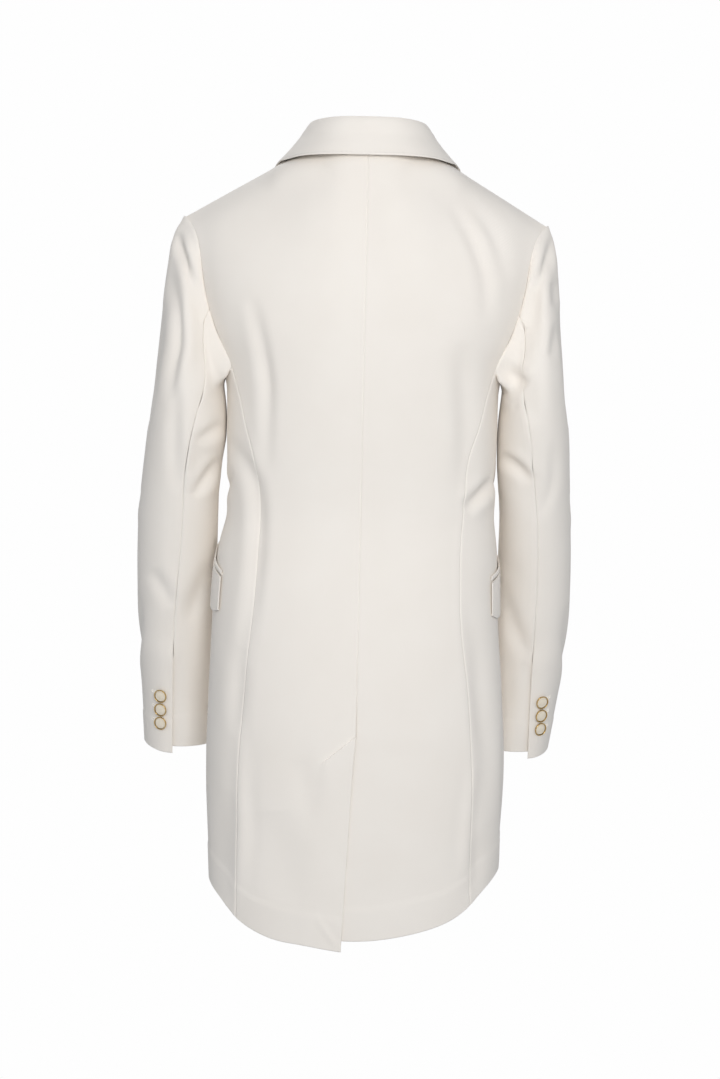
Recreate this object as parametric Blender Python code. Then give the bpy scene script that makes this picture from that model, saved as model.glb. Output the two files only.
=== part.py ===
"""A double-breasted long blazer coat as it is worn, hollow, on a general figure.

Metres, +Z up. The wearer faces -Y, so the back of the coat faces +Y and the
wearer's left is +X. The origin is the middle of the neck, level with the points
where the shoulder seams meet the collar. Every cloth piece is a thin wall: its
outer points come from one smooth surface, and its inner points lie CLOTH below.
"""

import math

import bpy
import numpy as np

# Cloth
CLOTH = 0.0018  # wall thickness
SEAM = 0.0003  # gap between two pieces where they are sewn
LAP = 0.0034  # height of a piece that lies on another, from face to face

# Body
YOKE = -0.200  # height where the rings end and the shoulders begin
HEM = -0.815  # level that the hem curve is measured from
ROUNDNESS = 0.87  # 1 is an ellipse, less is a squarer ring
NECK_WIDTH = 0.072  # middle of the neck to the shoulder seam
NECK_DEPTH = 0.070  # middle of the neck to the seam of the collar at the back
SHOULDER = {1: (0.2015, 0.0, -0.0735), -1: (0.2005, 0.0, -0.0765)}  # end of its seam
NECK_POINT = np.array([NECK_WIDTH, 0.0, 0.0])
ARMHOLE_FOOT = -0.235  # height where the side seams reach the armhole
ARMHOLE_DIP = 0.012  # how much lower its deepest point is

# Fronts
BREAK = -0.330  # height where the lapels start to fold back
WRAP = 0.075  # how far each front passes the middle
OVERLAP_LIFT = 0.0062  # the right front lies this far outside the left one

# Back vent
VENT_TOP = -0.6285
VENT_WELT = -0.6586  # lower end of the slanted stitching
VENT_UNDERLAP = 0.035
VENT_SWING = 0.0117  # how far the upper edge has drifted at the hem
VENT_LIFT = 0.0012

# Buttons
BUTTON_RADIUS = 0.0078
FRONT_BUTTON_RADIUS = 0.0115
BUTTON_LIFT = 0.0006  # the cloth curves away under a flat button
CUFF_BUTTON_TOP = -0.6135  # height of the highest one
CUFF_BUTTON_SPACING = 0.0163
CUFF_BUTTON_INSET = 0.014  # centre to the edge of the cuff vent

FOLD_END = 0.35  # share of its depth that a fold still has at its ends
FOLD_FACING = (0.1, 0.5)  # how much a place faces back where folds begin and where they are full

# The sleeves' largest soft folds, as seen from behind: the places (across, height) along
# the bottom of each trough, its depth, and how far off the cloth is back to about a third
SLEEVE_FOLDS = {
    "left": (
        (((0.200, -0.105), (0.203, -0.165), (0.208, -0.240)), 0.0030, 0.014),
        (((0.160, -0.315), (0.176, -0.340), (0.196, -0.385)), 0.0030, 0.014),
        (((0.172, -0.470), (0.186, -0.500), (0.198, -0.545)), 0.0026, 0.014),
    ),
    "right": (
        (((-0.160, -0.325), (-0.176, -0.345), (-0.196, -0.385)), 0.0030, 0.014),
        (((-0.165, -0.450), (-0.180, -0.495), (-0.190, -0.545)), 0.0026, 0.014),
    ),
}

CREAM = (0.86, 0.80, 0.72)
IVORY = (0.90, 0.85, 0.74)
GOLD = (0.72, 0.56, 0.27)

# height, half width on the left, on the right, depth behind, depth in front
BODY_RINGS = (
    (-0.200, 0.1700, 0.1690, 0.106, 0.118),
    (-0.245, 0.1530, 0.1520, 0.104, 0.123),
    (-0.310, 0.1485, 0.1480, 0.099, 0.122),
    (-0.375, 0.1475, 0.1475, 0.094, 0.116),
    (-0.405, 0.1500, 0.1495, 0.094, 0.116),
    (-0.440, 0.1585, 0.1535, 0.097, 0.117),
    (-0.510, 0.1635, 0.1560, 0.106, 0.121),
    (-0.600, 0.1665, 0.1635, 0.112, 0.125),
    (-0.680, 0.1680, 0.1675, 0.112, 0.127),
    (-0.770, 0.1645, 0.1650, 0.110, 0.128),
    (-0.870, 0.1600, 0.1600, 0.108, 0.128),
)

# height, share of the half width at the side-back seam and at the side-front one
SIDE_SEAMS = (
    (-0.200, 0.941, 0.955),
    (-0.235, 0.925, 0.950),
    (-0.290, 0.865, 0.930),
    (-0.330, 0.795, 0.915),
    (-0.370, 0.762, 0.905),
    (-0.400, 0.745, 0.900),
    (-0.435, 0.713, 0.895),
    (-0.510, 0.711, 0.895),
    (-0.570, 0.738, 0.900),
    (-0.660, 0.756, 0.905),
    (-0.750, 0.772, 0.905),
    (-0.870, 0.810, 0.905),
)

# degrees round from the middle of the back, height of the hem left, and right
HEM_CURVE = (
    (0, -0.8680, -0.8560),
    (15, -0.8615, -0.8500),
    (28, -0.8580, -0.8430),
    (40, -0.8500, -0.8340),
    (50, -0.8400, -0.8215),
    (62, -0.8245, -0.8050),
    (76, -0.8130, -0.7945),
    (90, -0.8060, -0.7920),
    (130, -0.8040, -0.7980),
    (180, -0.8080, -0.8080),
)

# Heights of the rows of points that all the body's panels share
ROWS_BELOW = (
    -0.815, -0.775, -0.735, -0.695, -0.6586, -0.6285, -0.580, -0.530, -0.480,
    -0.435, -0.395, -0.360, -0.330, -0.300, -0.265, -0.235, -0.200,
)
ROWS_ABOVE = 7  # rows from the yoke level to the shoulder
BACK_COLUMNS = 8
NECK_COLUMNS = 3  # of those, the ones that end at the neck
SIDE_COLUMNS = 6
FRONT_COLUMNS = 12

# Sleeves, one row for each ring from the armhole to the cuff:
# height, middle x, middle y, half width, half depth, degrees of the elbow seam
SLEEVE_RINGS = {
    "left": (
        (-0.262, 0.1935, 0.000, 0.0385, 0.062, -32),
        (-0.300, 0.1955, -0.004, 0.0425, 0.060, -16),
        (-0.350, 0.2015, -0.014, 0.0430, 0.056, -11),
        (-0.400, 0.2057, -0.028, 0.0447, 0.053, -12),
        (-0.450, 0.2077, -0.042, 0.0452, 0.051, -9),
        (-0.510, 0.2090, -0.058, 0.0444, 0.049, -3),
        (-0.555, 0.2085, -0.069, 0.0436, 0.047, 1),
        (-0.578, 0.2087, -0.074, 0.0430, 0.046, 1),
        (-0.620, 0.2085, -0.082, 0.0410, 0.044, 2),
        (-0.674, 0.2075, -0.090, 0.0395, 0.043, 4),
    ),
    "right": (
        (-0.262, 0.1898, 0.000, 0.0348, 0.061, -28),
        (-0.300, 0.1915, -0.006, 0.0385, 0.059, -14),
        (-0.350, 0.1938, -0.018, 0.0400, 0.055, -7),
        (-0.400, 0.1975, -0.033, 0.0400, 0.052, -2),
        (-0.450, 0.1995, -0.048, 0.0415, 0.050, 0),
        (-0.510, 0.2002, -0.064, 0.0420, 0.048, 0),
        (-0.555, 0.1985, -0.077, 0.0417, 0.046, 2),
        (-0.578, 0.1974, -0.083, 0.0412, 0.045, 2),
        (-0.620, 0.1938, -0.092, 0.0398, 0.044, 7),
        (-0.676, 0.1867, -0.100, 0.0383, 0.043, 17),
    ),
}
SLEEVE_ROWS = (
    -0.262, -0.285, -0.310, -0.340, -0.370, -0.400, -0.435, -0.470, -0.510,
    -0.545, -0.566, -0.578, -0.610, -0.640, -0.674,
)
CAP_ROWS = 5
FRONT_SEAM_ANGLE = 214  # degrees, on the sleeve's ring
CAP_FULLNESS = {1: 0.32, -1: 0.20}  # how far the head of a sleeve stands out
CAP_GAP = 0.0011  # from the armhole to the sleeve's edge, as both turn there
TOP_SLEEVE_FIRST = 6  # the elbow seam starts at this point of the armhole
TOP_SLEEVE_LAST = 6  # and the front seam this many points before its end
CUFF_VENT = -0.578
CUFF_LAP = 0.012  # how far the under sleeve runs on beneath the top one
CUFF_LIFT = 0.0026  # and how far the top sleeve stands off it
CUFF_LIFTED = (1.0, 1.0, 0.6, 0.2)  # share of that lift, column by column
CUFF_CORNER = (0.007, 0.006, 0.004, 0.002)  # how much lower its hem is, likewise

# Collar, right half mirrored, from the middle of the back to the shoulder:
# share of the way, neck seam x, y, z, height of the fold above it, its lean inwards
COLLAR_STAND = (
    (0.00, 0.0000, 0.0700, 0.0005, 0.0290, 0.0000),
    (0.20, 0.0300, 0.0645, 0.0008, 0.0288, 0.0010),
    (0.40, 0.0530, 0.0480, 0.0010, 0.0275, 0.0030),
    (0.58, 0.0670, 0.0260, 0.0012, 0.0250, 0.0060),
    (0.74, 0.0722, 0.0010, 0.0014, 0.0200, 0.0080),
)
# share of the way, x, y, z of the lower edge of the fall
COLLAR_EDGE = (
    (0.00, 0.0000, 0.0890, -0.0095),
    (0.20, 0.0400, 0.0860, -0.0095),
    (0.40, 0.0700, 0.0680, -0.0100),
    (0.58, 0.0900, 0.0360, -0.0120),
    (0.74, 0.0985, 0.0000, -0.0105),
)
GORGE = 0.60  # how far up the chest the collar meets the lapel, at the fold
GORGE_RISE = 0.17  # and how much higher for each share of the way to the armhole
GORGE_GAP = 0.012  # half the notch between collar and lapel, as a share of the chest
COLLAR_POINT = 0.36  # share of the way to the armhole of the collar's point
LAPEL_POINT = 0.60
PEAK = 0.06  # how far the lapel's point turns up past the gorge
LAPEL_START = 0.06  # width of the lapel at the break, as a share of that at its point
LAPEL_ROWS = 12
LAPEL_COLUMNS = 5
COLLAR_COLUMNS = 26
STAND_END = 0.005  # height of the stand where it ends at the lapel

POCKET_BACK = 67  # degrees round from the middle of the back
POCKET_LENGTH = 0.140
POCKET_HEIGHT = -0.460
POCKET_RISE = {1: 0.42, -1: 0.30}  # slant up towards the front, left and right
POCKET_COLUMNS = 9
FLAP_DEPTH = 0.048
FLAP_CORNER = 0.25  # how far its corners are rounded off, as a share of the depth
FLAP_ROWS = 3
JET_DEPTH = 0.006
JET_GAP = 0.0012  # from the jet down to the flap

FRONT_BUTTONS = ((-0.352, 0.060), (-0.437, 0.060), (-0.522, 0.060))  # height, across


# ---------------------------------------------------------------- small tools


def column(table, number):
    return [row[number] for row in table]


def smooth(table, number, key):
    """Reads one column of a table at `key` along a smooth curve through its rows."""
    rows = sorted(table, key=lambda row: row[0])
    keys = column(rows, 0)
    values = column(rows, number)
    key = min(max(key, keys[0]), keys[-1])
    last = len(keys) - 1
    i = min(max(int(np.searchsorted(keys, key)) - 1, 0), last - 1)
    span = keys[i + 1] - keys[i]
    rise = (values[i + 1] - values[i]) / span

    def slope(k):
        if k == 0 or k == last:
            return rise
        return (values[k + 1] - values[k - 1]) / (keys[k + 1] - keys[k - 1])

    t = (key - keys[i]) / span
    return hermite(values[i], slope(i) * span, values[i + 1], slope(i + 1) * span, t)


def hermite(start, leaving, end, arriving, t):
    """A curve from start to end that leaves and arrives with the given vectors."""
    a = 2 * t**3 - 3 * t**2 + 1
    b = t**3 - 2 * t**2 + t
    c = -2 * t**3 + 3 * t**2
    d = t**3 - t**2
    return a * start + b * leaving + c * end + d * arriving


def ease(low, high, value):
    """0 up to low, 1 from high on, and smooth between. low may be above high."""
    t = min(max((value - low) / (high - low), 0.0), 1.0)
    return t * t * (3 - 2 * t)


def unit(vector):
    return vector / max(np.linalg.norm(vector), 1e-12)


def blend(a, b, t):
    return a + (b - a) * t


def mirrored(side, point):
    return np.array([side * point[0], point[1], point[2]])


# ------------------------------------------------------------ the body's form


def squared(value):
    return math.copysign(abs(value) ** ROUNDNESS, value)


def angle_at(share):
    """The angle, from the middle, where a ring is this share of its half width."""
    return math.copysign(math.asin(min(abs(share), 1.0) ** (1 / ROUNDNESS)), share)


def half_width(side, height):
    return smooth(BODY_RINGS, 1 if side > 0 else 2, height)


def ring(side, height, angle):
    """A point of the body, with x positive on its own side.

    The angle is 0 at the middle of the back, pi in front.
    """
    depth = smooth(BODY_RINGS, 3 if math.cos(angle) > 0 else 4, height)
    x = half_width(side, height) * squared(math.sin(angle))
    y = depth * squared(math.cos(angle))
    return np.array([x, y, height])


def hem_drop(side, angle, height):
    """The true height of a point of the rows, which sink to the hem's own curve."""
    if height > VENT_WELT:
        return height
    hem = smooth(HEM_CURVE, 1 if side > 0 else 2, math.degrees(abs(angle)))
    share = (VENT_WELT - height) / (VENT_WELT - HEM)
    return height + (hem - HEM) * share


def side_back_angle(height):
    return angle_at(smooth(SIDE_SEAMS, 1, height))


def side_front_angle(height):
    return math.pi - angle_at(smooth(SIDE_SEAMS, 2, height))


def across_angle(side, height, across):
    return angle_at(across / half_width(side, height))


def back_edge_angle(side, height):
    """Where a back panel ends in the middle: at the seam, or past it in the vent."""
    if height > VENT_TOP:
        return 0.0
    if side > 0:
        swing = (VENT_TOP - height) / (VENT_TOP - HEM)
        return across_angle(side, height, VENT_SWING * swing)
    reach = min((VENT_TOP - height) / (VENT_TOP - VENT_WELT), 1.0)
    return -across_angle(side, height, VENT_UNDERLAP * reach)


def shoulder_line(side, share):
    return blend(NECK_POINT, np.array(SHOULDER[side]), share)


def back_top(side, share):
    """The end of a back column: on the neck seam, or on the shoulder seam."""
    corner = NECK_COLUMNS / BACK_COLUMNS
    if share > corner:
        return shoulder_line(side, (share - corner) / (1 - corner))
    turn = share / corner * math.pi / 2
    return np.array([NECK_WIDTH * math.sin(turn), NECK_DEPTH * math.cos(turn), 0.0])


def back_arrival(share):
    """How a back column arrives there: up at the neck, over the top at the side."""
    corner = NECK_COLUMNS / BACK_COLUMNS
    turn = min(share / corner, 1.0) * math.pi / 2
    reach = max((share - corner) / (1 - corner), 0.0) ** 3
    lean = blend(0.06, 0.19, math.sin(turn))
    return np.array([0.09 * reach, -lean + 0.04 * reach, 0.12 * math.cos(turn) + 0.06 * reach])


def back_low(side, share, height):
    angle = blend(back_edge_angle(side, height), side_back_angle(height), share)
    return ring(side, hem_drop(side, angle, height), angle)


def back_at(side, share, height):
    """A point of the back. Above the yoke the height is nominal, up to 0 at the top."""
    if height <= YOKE:
        return mirrored(side, back_low(side, share, height))
    step = 0.002
    start = back_low(side, share, YOKE)
    leaving = (start - back_low(side, share, YOKE - step)) / step * -YOKE * 0.9
    t = (height - YOKE) / -YOKE
    end = back_top(side, share)
    return mirrored(side, hermite(start, leaving, end, back_arrival(share), t))


def armhole_height(height, share):
    """Side panels reach up to the armhole, which dips in the middle of the panel."""
    top = ease(-0.330, ARMHOLE_FOOT, height)
    return height - ARMHOLE_DIP * top * math.sin(math.pi * share)


def side_at(side, share, height):
    angle = blend(side_back_angle(height), side_front_angle(height), share)
    true_height = hem_drop(side, angle, armhole_height(height, share))
    return mirrored(side, ring(side, true_height, angle))


def front_edge(height):
    """How far across the wearer's own side a front starts, less than 0 past the middle."""
    if height < BREAK:
        return -WRAP
    return blend(-WRAP, NECK_WIDTH, (height - BREAK) / -BREAK)


def front_low(side, share, height):
    edge = math.pi - across_angle(side, height, front_edge(height))
    angle = blend(edge, side_front_angle(height), share)
    return ring(side, hem_drop(side, angle, height), angle)


def front_at(side, share, height):
    """A point of a front, from its edge or fold line (0) to the side (1)."""
    if height <= YOKE:
        return mirrored(side, front_low(side, share, height))
    step = 0.002
    start = front_low(side, share, YOKE)
    leaving = (start - front_low(side, share, YOKE - step)) / step * -YOKE * 0.9
    t = (height - YOKE) / -YOKE
    inner = (1 - share) ** 2
    outer = share**3
    arriving = np.array([0.06 * inner + 0.09 * outer, 0.19 - 0.04 * outer, 0.10 * inner + 0.06 * outer])
    return mirrored(side, hermite(start, leaving, shoulder_line(side, share), arriving, t))


def facing(surface, side, share, height):
    """The outward direction of a surface at a point."""
    across = surface(side, min(share + 0.01, 1.0), height) - surface(side, max(share - 0.01, 0.0), height)
    up = surface(side, share, min(height + 0.004, 0.0)) - surface(side, share, height - 0.004)
    normal = unit(np.cross(across, up))
    point = surface(side, share, height)
    middle = np.array([0.0, 0.0, min(point[2], YOKE)])
    return normal if np.dot(normal, point - middle) > 0 else -normal


def vent_lift(side, share, height):
    """The two backs part at the vent: the left one lies over the right one."""
    across = back_at(side, share, height)[0]
    depth = ease(-0.600, VENT_TOP, height)
    if side > 0:
        return VENT_LIFT * depth * ease(0.070, 0.040, across)
    return -VENT_LIFT * depth * ease(-0.030, -0.002, across)


def overlap_lift(side, across, height):
    """The right front rises over the left one where they lap."""
    if side > 0:
        return 0.0
    return OVERLAP_LIFT * ease(0.125, 0.082, across) * ease(-0.060, -0.130, height)


def front_lift(side, share, height):
    return overlap_lift(side, side * front_at(side, share, height)[0], height)


# ------------------------------------------------------------- walls of cloth


def fold_depth(folds, point, facing_back):
    """How deep a point lies in the folds, which fade where the cloth turns sideways."""
    total = 0.0
    for places, depth, width in folds:
        walked = 0.0
        nearest = (math.inf, 0.0)
        legs = [(np.array(a), np.array(b)) for a, b in zip(places, places[1:])]
        whole = sum(np.linalg.norm(b - a) for a, b in legs)
        for a, b in legs:
            leg = b - a
            length = np.linalg.norm(leg)
            offset = np.array([point[0], point[2]]) - a
            along = min(max(np.dot(offset, leg) / length**2, 0.0), 1.0)
            away = np.linalg.norm(offset - along * leg)
            nearest = min(nearest, (away, (walked + along * length) / whole))
            walked += length
        away, share = nearest
        fullness = blend(FOLD_END, 1.0, math.sin(math.pi * share))
        total += depth * math.exp(-((away / width) ** 2)) * fullness
    return total * ease(*FOLD_FACING, facing_back)


def no_lift(side, share, height):
    return 0.0


def grid_of(surface, side, shares, heights, lift):
    """Outer points and outward directions, a row for each height."""
    size = (len(heights), len(shares), 3)
    points = np.zeros(size)
    normals = np.zeros(size)
    for row, height in enumerate(heights):
        for i, share in enumerate(shares):
            normal = facing(surface, side, share, height)
            points[row, i] = surface(side, share, height) + normal * lift(side, share, height)
            normals[row, i] = normal
    return points, normals


def meet_on_top(normals, first):
    """Front and back meet edge to edge on the shoulder seam, the top row from `first`."""
    for i in range(first, normals.shape[1]):
        normals[-1, i] = unit(normals[-1, i] * (1, 0, 1))


def trim(points, edges, gap):
    """Draws the named edges of a grid in by half the gap of a seam."""
    trimmed = points.copy()
    for edge in edges:
        own, beside = {
            "first_column": (np.s_[:, 0], np.s_[:, 1]),
            "last_column": (np.s_[:, -1], np.s_[:, -2]),
            "first_row": (np.s_[0], np.s_[1]),
            "last_row": (np.s_[-1], np.s_[-2]),
        }[edge]
        way = points[beside] - points[own]
        way = way / np.linalg.norm(way, axis=-1, keepdims=True)
        trimmed[own] = trimmed[own] + way * gap / 2
    return trimmed


def wall(name, points, normals, edges=(), gap=SEAM):
    """One closed piece of cloth between a grid and the same grid set inwards."""
    outer = trim(points, edges, gap)
    inner = trim(points - normals * CLOTH, edges, gap)
    rows, columns = points.shape[:2]
    count = rows * columns

    def at(row, across, layer):
        return layer * count + row * columns + across

    faces = []
    for layer in (0, 1):
        for row in range(rows - 1):
            for across in range(columns - 1):
                a, b = at(row, across, layer), at(row, across + 1, layer)
                c, d = at(row + 1, across + 1, layer), at(row + 1, across, layer)
                faces += [(a, b, c), (a, c, d)] if layer == 0 else [(c, b, a), (d, c, a)]
    rim = [(0, across) for across in range(columns)]
    rim += [(row, columns - 1) for row in range(1, rows)]
    rim += [(rows - 1, across) for across in range(columns - 2, -1, -1)]
    rim += [(row, 0) for row in range(rows - 2, 0, -1)]
    for here, there in zip(rim, rim[1:] + rim[:1]):
        a, b = at(*here, 0), at(*there, 0)
        c, d = at(*there, 1), at(*here, 1)
        faces += [(b, a, d), (b, d, c)]
    points = np.vstack([outer.reshape(-1, 3), inner.reshape(-1, 3)])
    solid(name, points, faces, plain_material(name, CREAM, 0.9, 0.0))


def solid(name, points, faces, material):
    mesh = bpy.data.meshes.new(name)
    mesh.from_pydata([tuple(point) for point in points], [], faces)
    corners = points[np.array(faces)]
    if np.linalg.det(corners).sum() < 0:
        mesh.flip_normals()
    mesh.materials.append(material)
    mesh.shade_smooth()
    mesh.set_sharp_from_angle(angle=math.radians(50))
    made = bpy.data.objects.new(name, mesh)
    bpy.context.scene.collection.objects.link(made)


def plain_material(name, colour, roughness, metallic):
    material = bpy.data.materials.new(name)
    material.use_nodes = True
    shader = material.node_tree.nodes["Principled BSDF"]
    shader.inputs["Base Color"].default_value = (*colour, 1.0)
    shader.inputs["Roughness"].default_value = roughness
    shader.inputs["Metallic"].default_value = metallic
    return material


# -------------------------------------------------------------- body's panels

SIDES = (("left", 1), ("right", -1))


def steps(count):
    return [i / count for i in range(count + 1)]


def rows_above():
    return [YOKE * (1 - i / ROWS_ABOVE) for i in range(1, ROWS_ABOVE + 1)]


def make_back(word, side):
    heights = list(ROWS_BELOW) + rows_above()
    points, normals = grid_of(back_at, side, steps(BACK_COLUMNS), heights, vent_lift)
    meet_on_top(normals, NECK_COLUMNS)
    wall("back_" + word, points, normals, ("first_column", "last_column", "last_row"))


def make_side(word, side):
    heights = [height for height in ROWS_BELOW if height <= ARMHOLE_FOOT]
    points, normals = grid_of(side_at, side, steps(SIDE_COLUMNS), heights, no_lift)
    wall("side_" + word, points, normals, ("first_column", "last_column"))


def make_front(word, side):
    heights = list(ROWS_BELOW) + rows_above()
    points, normals = grid_of(front_at, side, steps(FRONT_COLUMNS), heights, front_lift)
    meet_on_top(normals, 0)
    wall("front_" + word, points, normals, ("last_column", "last_row"))


# ------------------------------------------------------------ lapels and collar


def chest(side, share, rise, lift):
    """A point over a front: rise is 0 at the yoke level and 1 at the shoulder."""
    height = min(YOKE * (1 - rise), 0.0)
    point = front_at(side, share, height)
    normal = facing(front_at, side, share, height)
    return point + normal * (lift + front_lift(side, share, height)), normal


def gorge_rise(share):
    return GORGE + GORGE_RISE * share


def make_lapel(word, side):
    """From the break up to the gorge, with its point turned up."""
    points = np.zeros((LAPEL_ROWS + 1, LAPEL_COLUMNS + 1, 3))
    normals = np.zeros_like(points)
    low = (BREAK - YOKE) / -YOKE
    for row, way in enumerate(steps(LAPEL_ROWS)):
        reach = LAPEL_POINT * blend(LAPEL_START, 1.0, way**0.75)
        for i, across in enumerate(steps(LAPEL_COLUMNS)):
            share = reach * across
            end = gorge_rise(share) - GORGE_GAP + PEAK * ease(COLLAR_POINT, LAPEL_POINT, share)
            rise = blend(low, end, way)
            points[row, i], normals[row, i] = chest(side, share, rise, LAP)
    wall("lapel_" + word, points, normals)


def collar_section(side, share):
    """The stand from the neck seam to the fold, then the fall to its edge."""
    last = COLLAR_STAND[-1][0]
    if share <= last:
        base = np.array([smooth(COLLAR_STAND, k, share) for k in (1, 2, 3)])
        height = smooth(COLLAR_STAND, 4, share)
        lean = smooth(COLLAR_STAND, 5, share)
        edge = np.array([smooth(COLLAR_EDGE, k, share) for k in (1, 2, 3)])
        out = unit(np.array([base[0], base[1], 0.0]) * (0.8, 1.0, 0.0))
        reach = blend(0.45, 0.16, share / last)
        over = blend(base, edge, reach) * (1, 1, 0) + np.array([0, 0, base[2] + 0.50 * height])
    else:
        t = (share - last) / (1 - last)
        rise = blend(1.0, GORGE + GORGE_GAP, t)
        base = chest(1, 0.0, rise, 0.0)[0] + np.array([-0.0022 * t, 0, 0.0014])
        height = blend(smooth(COLLAR_STAND, 4, last), STAND_END, ease(0, 1, t))
        lean = blend(smooth(COLLAR_STAND, 5, last), 0.0, t)
        edge_share = blend(0.215, COLLAR_POINT, t)
        edge_rise = blend(1.0, gorge_rise(COLLAR_POINT) + GORGE_GAP, t)
        edge = chest(1, edge_share, edge_rise, LAP + 0.001)[0]
        out = unit(np.array([1.0, -0.7 * t, 0.25 * t]))
        half = blend(1.0, gorge_rise(COLLAR_POINT / 2) + GORGE_GAP, t)
        resting = chest(1, edge_share * 0.5, half, LAP + 0.002)[0]
        over = blend(blend(base, edge, 0.16) + np.array([0, 0, 0.5 * height]), resting, ease(0, 1, t))
    turn = CLOTH * 1.25
    fold = base + np.array([0, 0, height]) + out * (turn * 0.6 - lean)
    up = np.array([0, 0, 1.0])
    section = [
        base,
        blend(base, fold, 0.5) - out * turn * 0.3,
        fold - out * turn,
        fold - out * turn * 0.7 + up * turn * 0.75,
        fold + up * turn * 1.05,
        fold + out * turn * 0.7 + up * turn * 0.75,
        fold + out * turn * 1.1,
        blend(fold + out * turn * 1.4, over, 0.55),
        over,
        blend(over, edge, 0.55),
        edge,
    ]
    return np.array([mirrored(side, point) for point in section])


def make_collar():
    half = COLLAR_COLUMNS // 2
    sections = [collar_section(-1, 1 - i / half) for i in range(half)]
    sections += [collar_section(1, i / half) for i in range(half + 1)]
    points = np.array(sections)
    normals = across_grid(points)
    wall("collar", points + normals * CLOTH / 2, normals)


def across_grid(points):
    """Directions square to a grid of points."""
    normals = np.cross(np.gradient(points, axis=0), np.gradient(points, axis=1))
    return normals / np.linalg.norm(normals, axis=-1, keepdims=True)


# --------------------------------------------------------------------- sleeves


def armhole(side):
    """Points of the armhole and the body's outward direction there.

    They run from the shoulder down the back, under the arm and up the front, at the
    same places as the points of the panels' edges.
    """
    loop = []
    heights = [0.0] + rows_above()[-2::-1] + [YOKE]
    for height in heights:
        loop.append((back_at(side, 1.0, height), facing(back_at, side, 1.0, height)))
    for share in steps(SIDE_COLUMNS):
        point = side_at(side, share, ARMHOLE_FOOT)
        loop.append((point, facing(side_at, side, share, ARMHOLE_FOOT)))
    for height in heights[:0:-1]:
        loop.append((front_at(side, 1.0, height), facing(front_at, side, 1.0, height)))
    return loop


def sleeve_ring(word, height, angle):
    """A point of a sleeve's tube. The angle is 0 behind and 90 on the outer side."""
    table = SLEEVE_RINGS[word]
    x, y, half_width, half_depth = (smooth(table, k, height) for k in (1, 2, 3, 4))
    turn = math.radians(angle)
    return np.array([x + half_width * math.sin(turn), y + half_depth * math.cos(turn), height])


def sleeve_angles(word, height, count_top, count_under):
    """Angles of the columns: the top sleeve from elbow to front, then the under one."""
    elbow = smooth(SLEEVE_RINGS[word], 5, height)
    top = [blend(elbow, FRONT_SEAM_ANGLE, i / count_top) for i in range(count_top + 1)]
    under = [blend(FRONT_SEAM_ANGLE, 360 + elbow, i / count_under) for i in range(count_under + 1)]
    return top, under


def cap_column(side, start, body_normal, end, end_way):
    """A column from the armhole to the first ring: it leaves outwards and turns down."""
    lift = (start[2] - ARMHOLE_FOOT) / (SHOULDER[side][2] - ARMHOLE_FOOT)
    lift = min(max(lift, 0.0), 1.0)
    span = np.linalg.norm(end - start)
    way = np.array([side * 0.6 * lift, 0, -0.4 - 0.5 * (1 - lift)])
    way = unit(way + body_normal * 0.45 * (1 - 0.6 * lift))
    leaving = way * span * blend(1.0, CAP_FULLNESS[side], lift**2)
    arriving = end_way * span * blend(1.0, 0.7, lift)
    first = start + way * CAP_GAP
    return [hermite(first, leaving, end, arriving, t) for t in steps(CAP_ROWS)]


def sleeve_columns(word, side):
    """The whole sleeve as columns round it, each from the armhole to the cuff."""
    loop = armhole(side)
    total = len(loop)
    first = TOP_SLEEVE_FIRST
    last = total - TOP_SLEEVE_LAST
    under_order = list(range(first, last + 1))
    top_order = list(range(last, total)) + list(range(0, first + 1))
    top_order = top_order[::-1]
    under_order = under_order[::-1]
    result = []
    for order, part in ((top_order, 0), (under_order, 1)):
        columns = []
        for i, k in enumerate(order):
            def angle_of(height):
                both = sleeve_angles(word, height, len(top_order) - 1, len(under_order) - 1)
                return both[part][i]

            rings = [mirrored(side, sleeve_ring(word, h, angle_of(h))) for h in SLEEVE_ROWS]
            end_way = unit(rings[1] - rings[0])
            cap = cap_column(side, loop[k][0], loop[k][1], rings[0], end_way)
            columns.append(cap + rings[1:])
        result.append(np.array(columns))
    return result


def sleeve_normals(side, whole):
    """Outward directions of a closed ring of columns."""
    around = np.roll(whole, -1, axis=0) - np.roll(whole, 1, axis=0)
    down = np.gradient(whole, axis=1)
    normals = side * np.cross(around, down)
    normals /= np.linalg.norm(normals, axis=-1, keepdims=True)
    return normals


def make_sleeve(word, side):
    top, under = sleeve_columns(word, side)
    whole = np.concatenate([top[:-1], under[:-1]])
    normals = sleeve_normals(side, whole)
    top_normals = normals[: len(top)]
    under_normals = np.concatenate([normals[len(top) - 1 :], normals[:1]])
    rows = top.shape[1]
    for row in range(rows):
        height = top[0, row, 2]
        lifted = ease(CUFF_VENT + 0.033, CUFF_VENT + 0.012, height)
        lapped = ease(CUFF_VENT + 0.012, CUFF_VENT, height)
        beneath = unit(top[1, row] - top[0, row])
        for i, reach in enumerate(CUFF_LIFTED):
            top[i, row] += top_normals[i, row] * CUFF_LIFT * lifted * reach
        under[-1, row] += beneath * CUFF_LAP * lapped
    for columns, directions in ((top, top_normals), (under, under_normals)):
        for at in np.ndindex(columns.shape[:2]):
            sink = fold_depth(SLEEVE_FOLDS[word], columns[at], directions[at][1])
            columns[at] -= directions[at] * sink
    for i, drop in enumerate(CUFF_CORNER):
        top[i, -1, 2] -= drop
    grids = (("sleeve_top_", top, top_normals), ("sleeve_under_", under, under_normals))
    for name, points, directions in grids:
        points = points.transpose(1, 0, 2)
        directions = directions.transpose(1, 0, 2)
        wall(name + word, points, directions, ("first_column", "last_column"), SEAM * 1.5)
    return top, top_normals


# --------------------------------------------------------------- pockets, buttons


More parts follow.
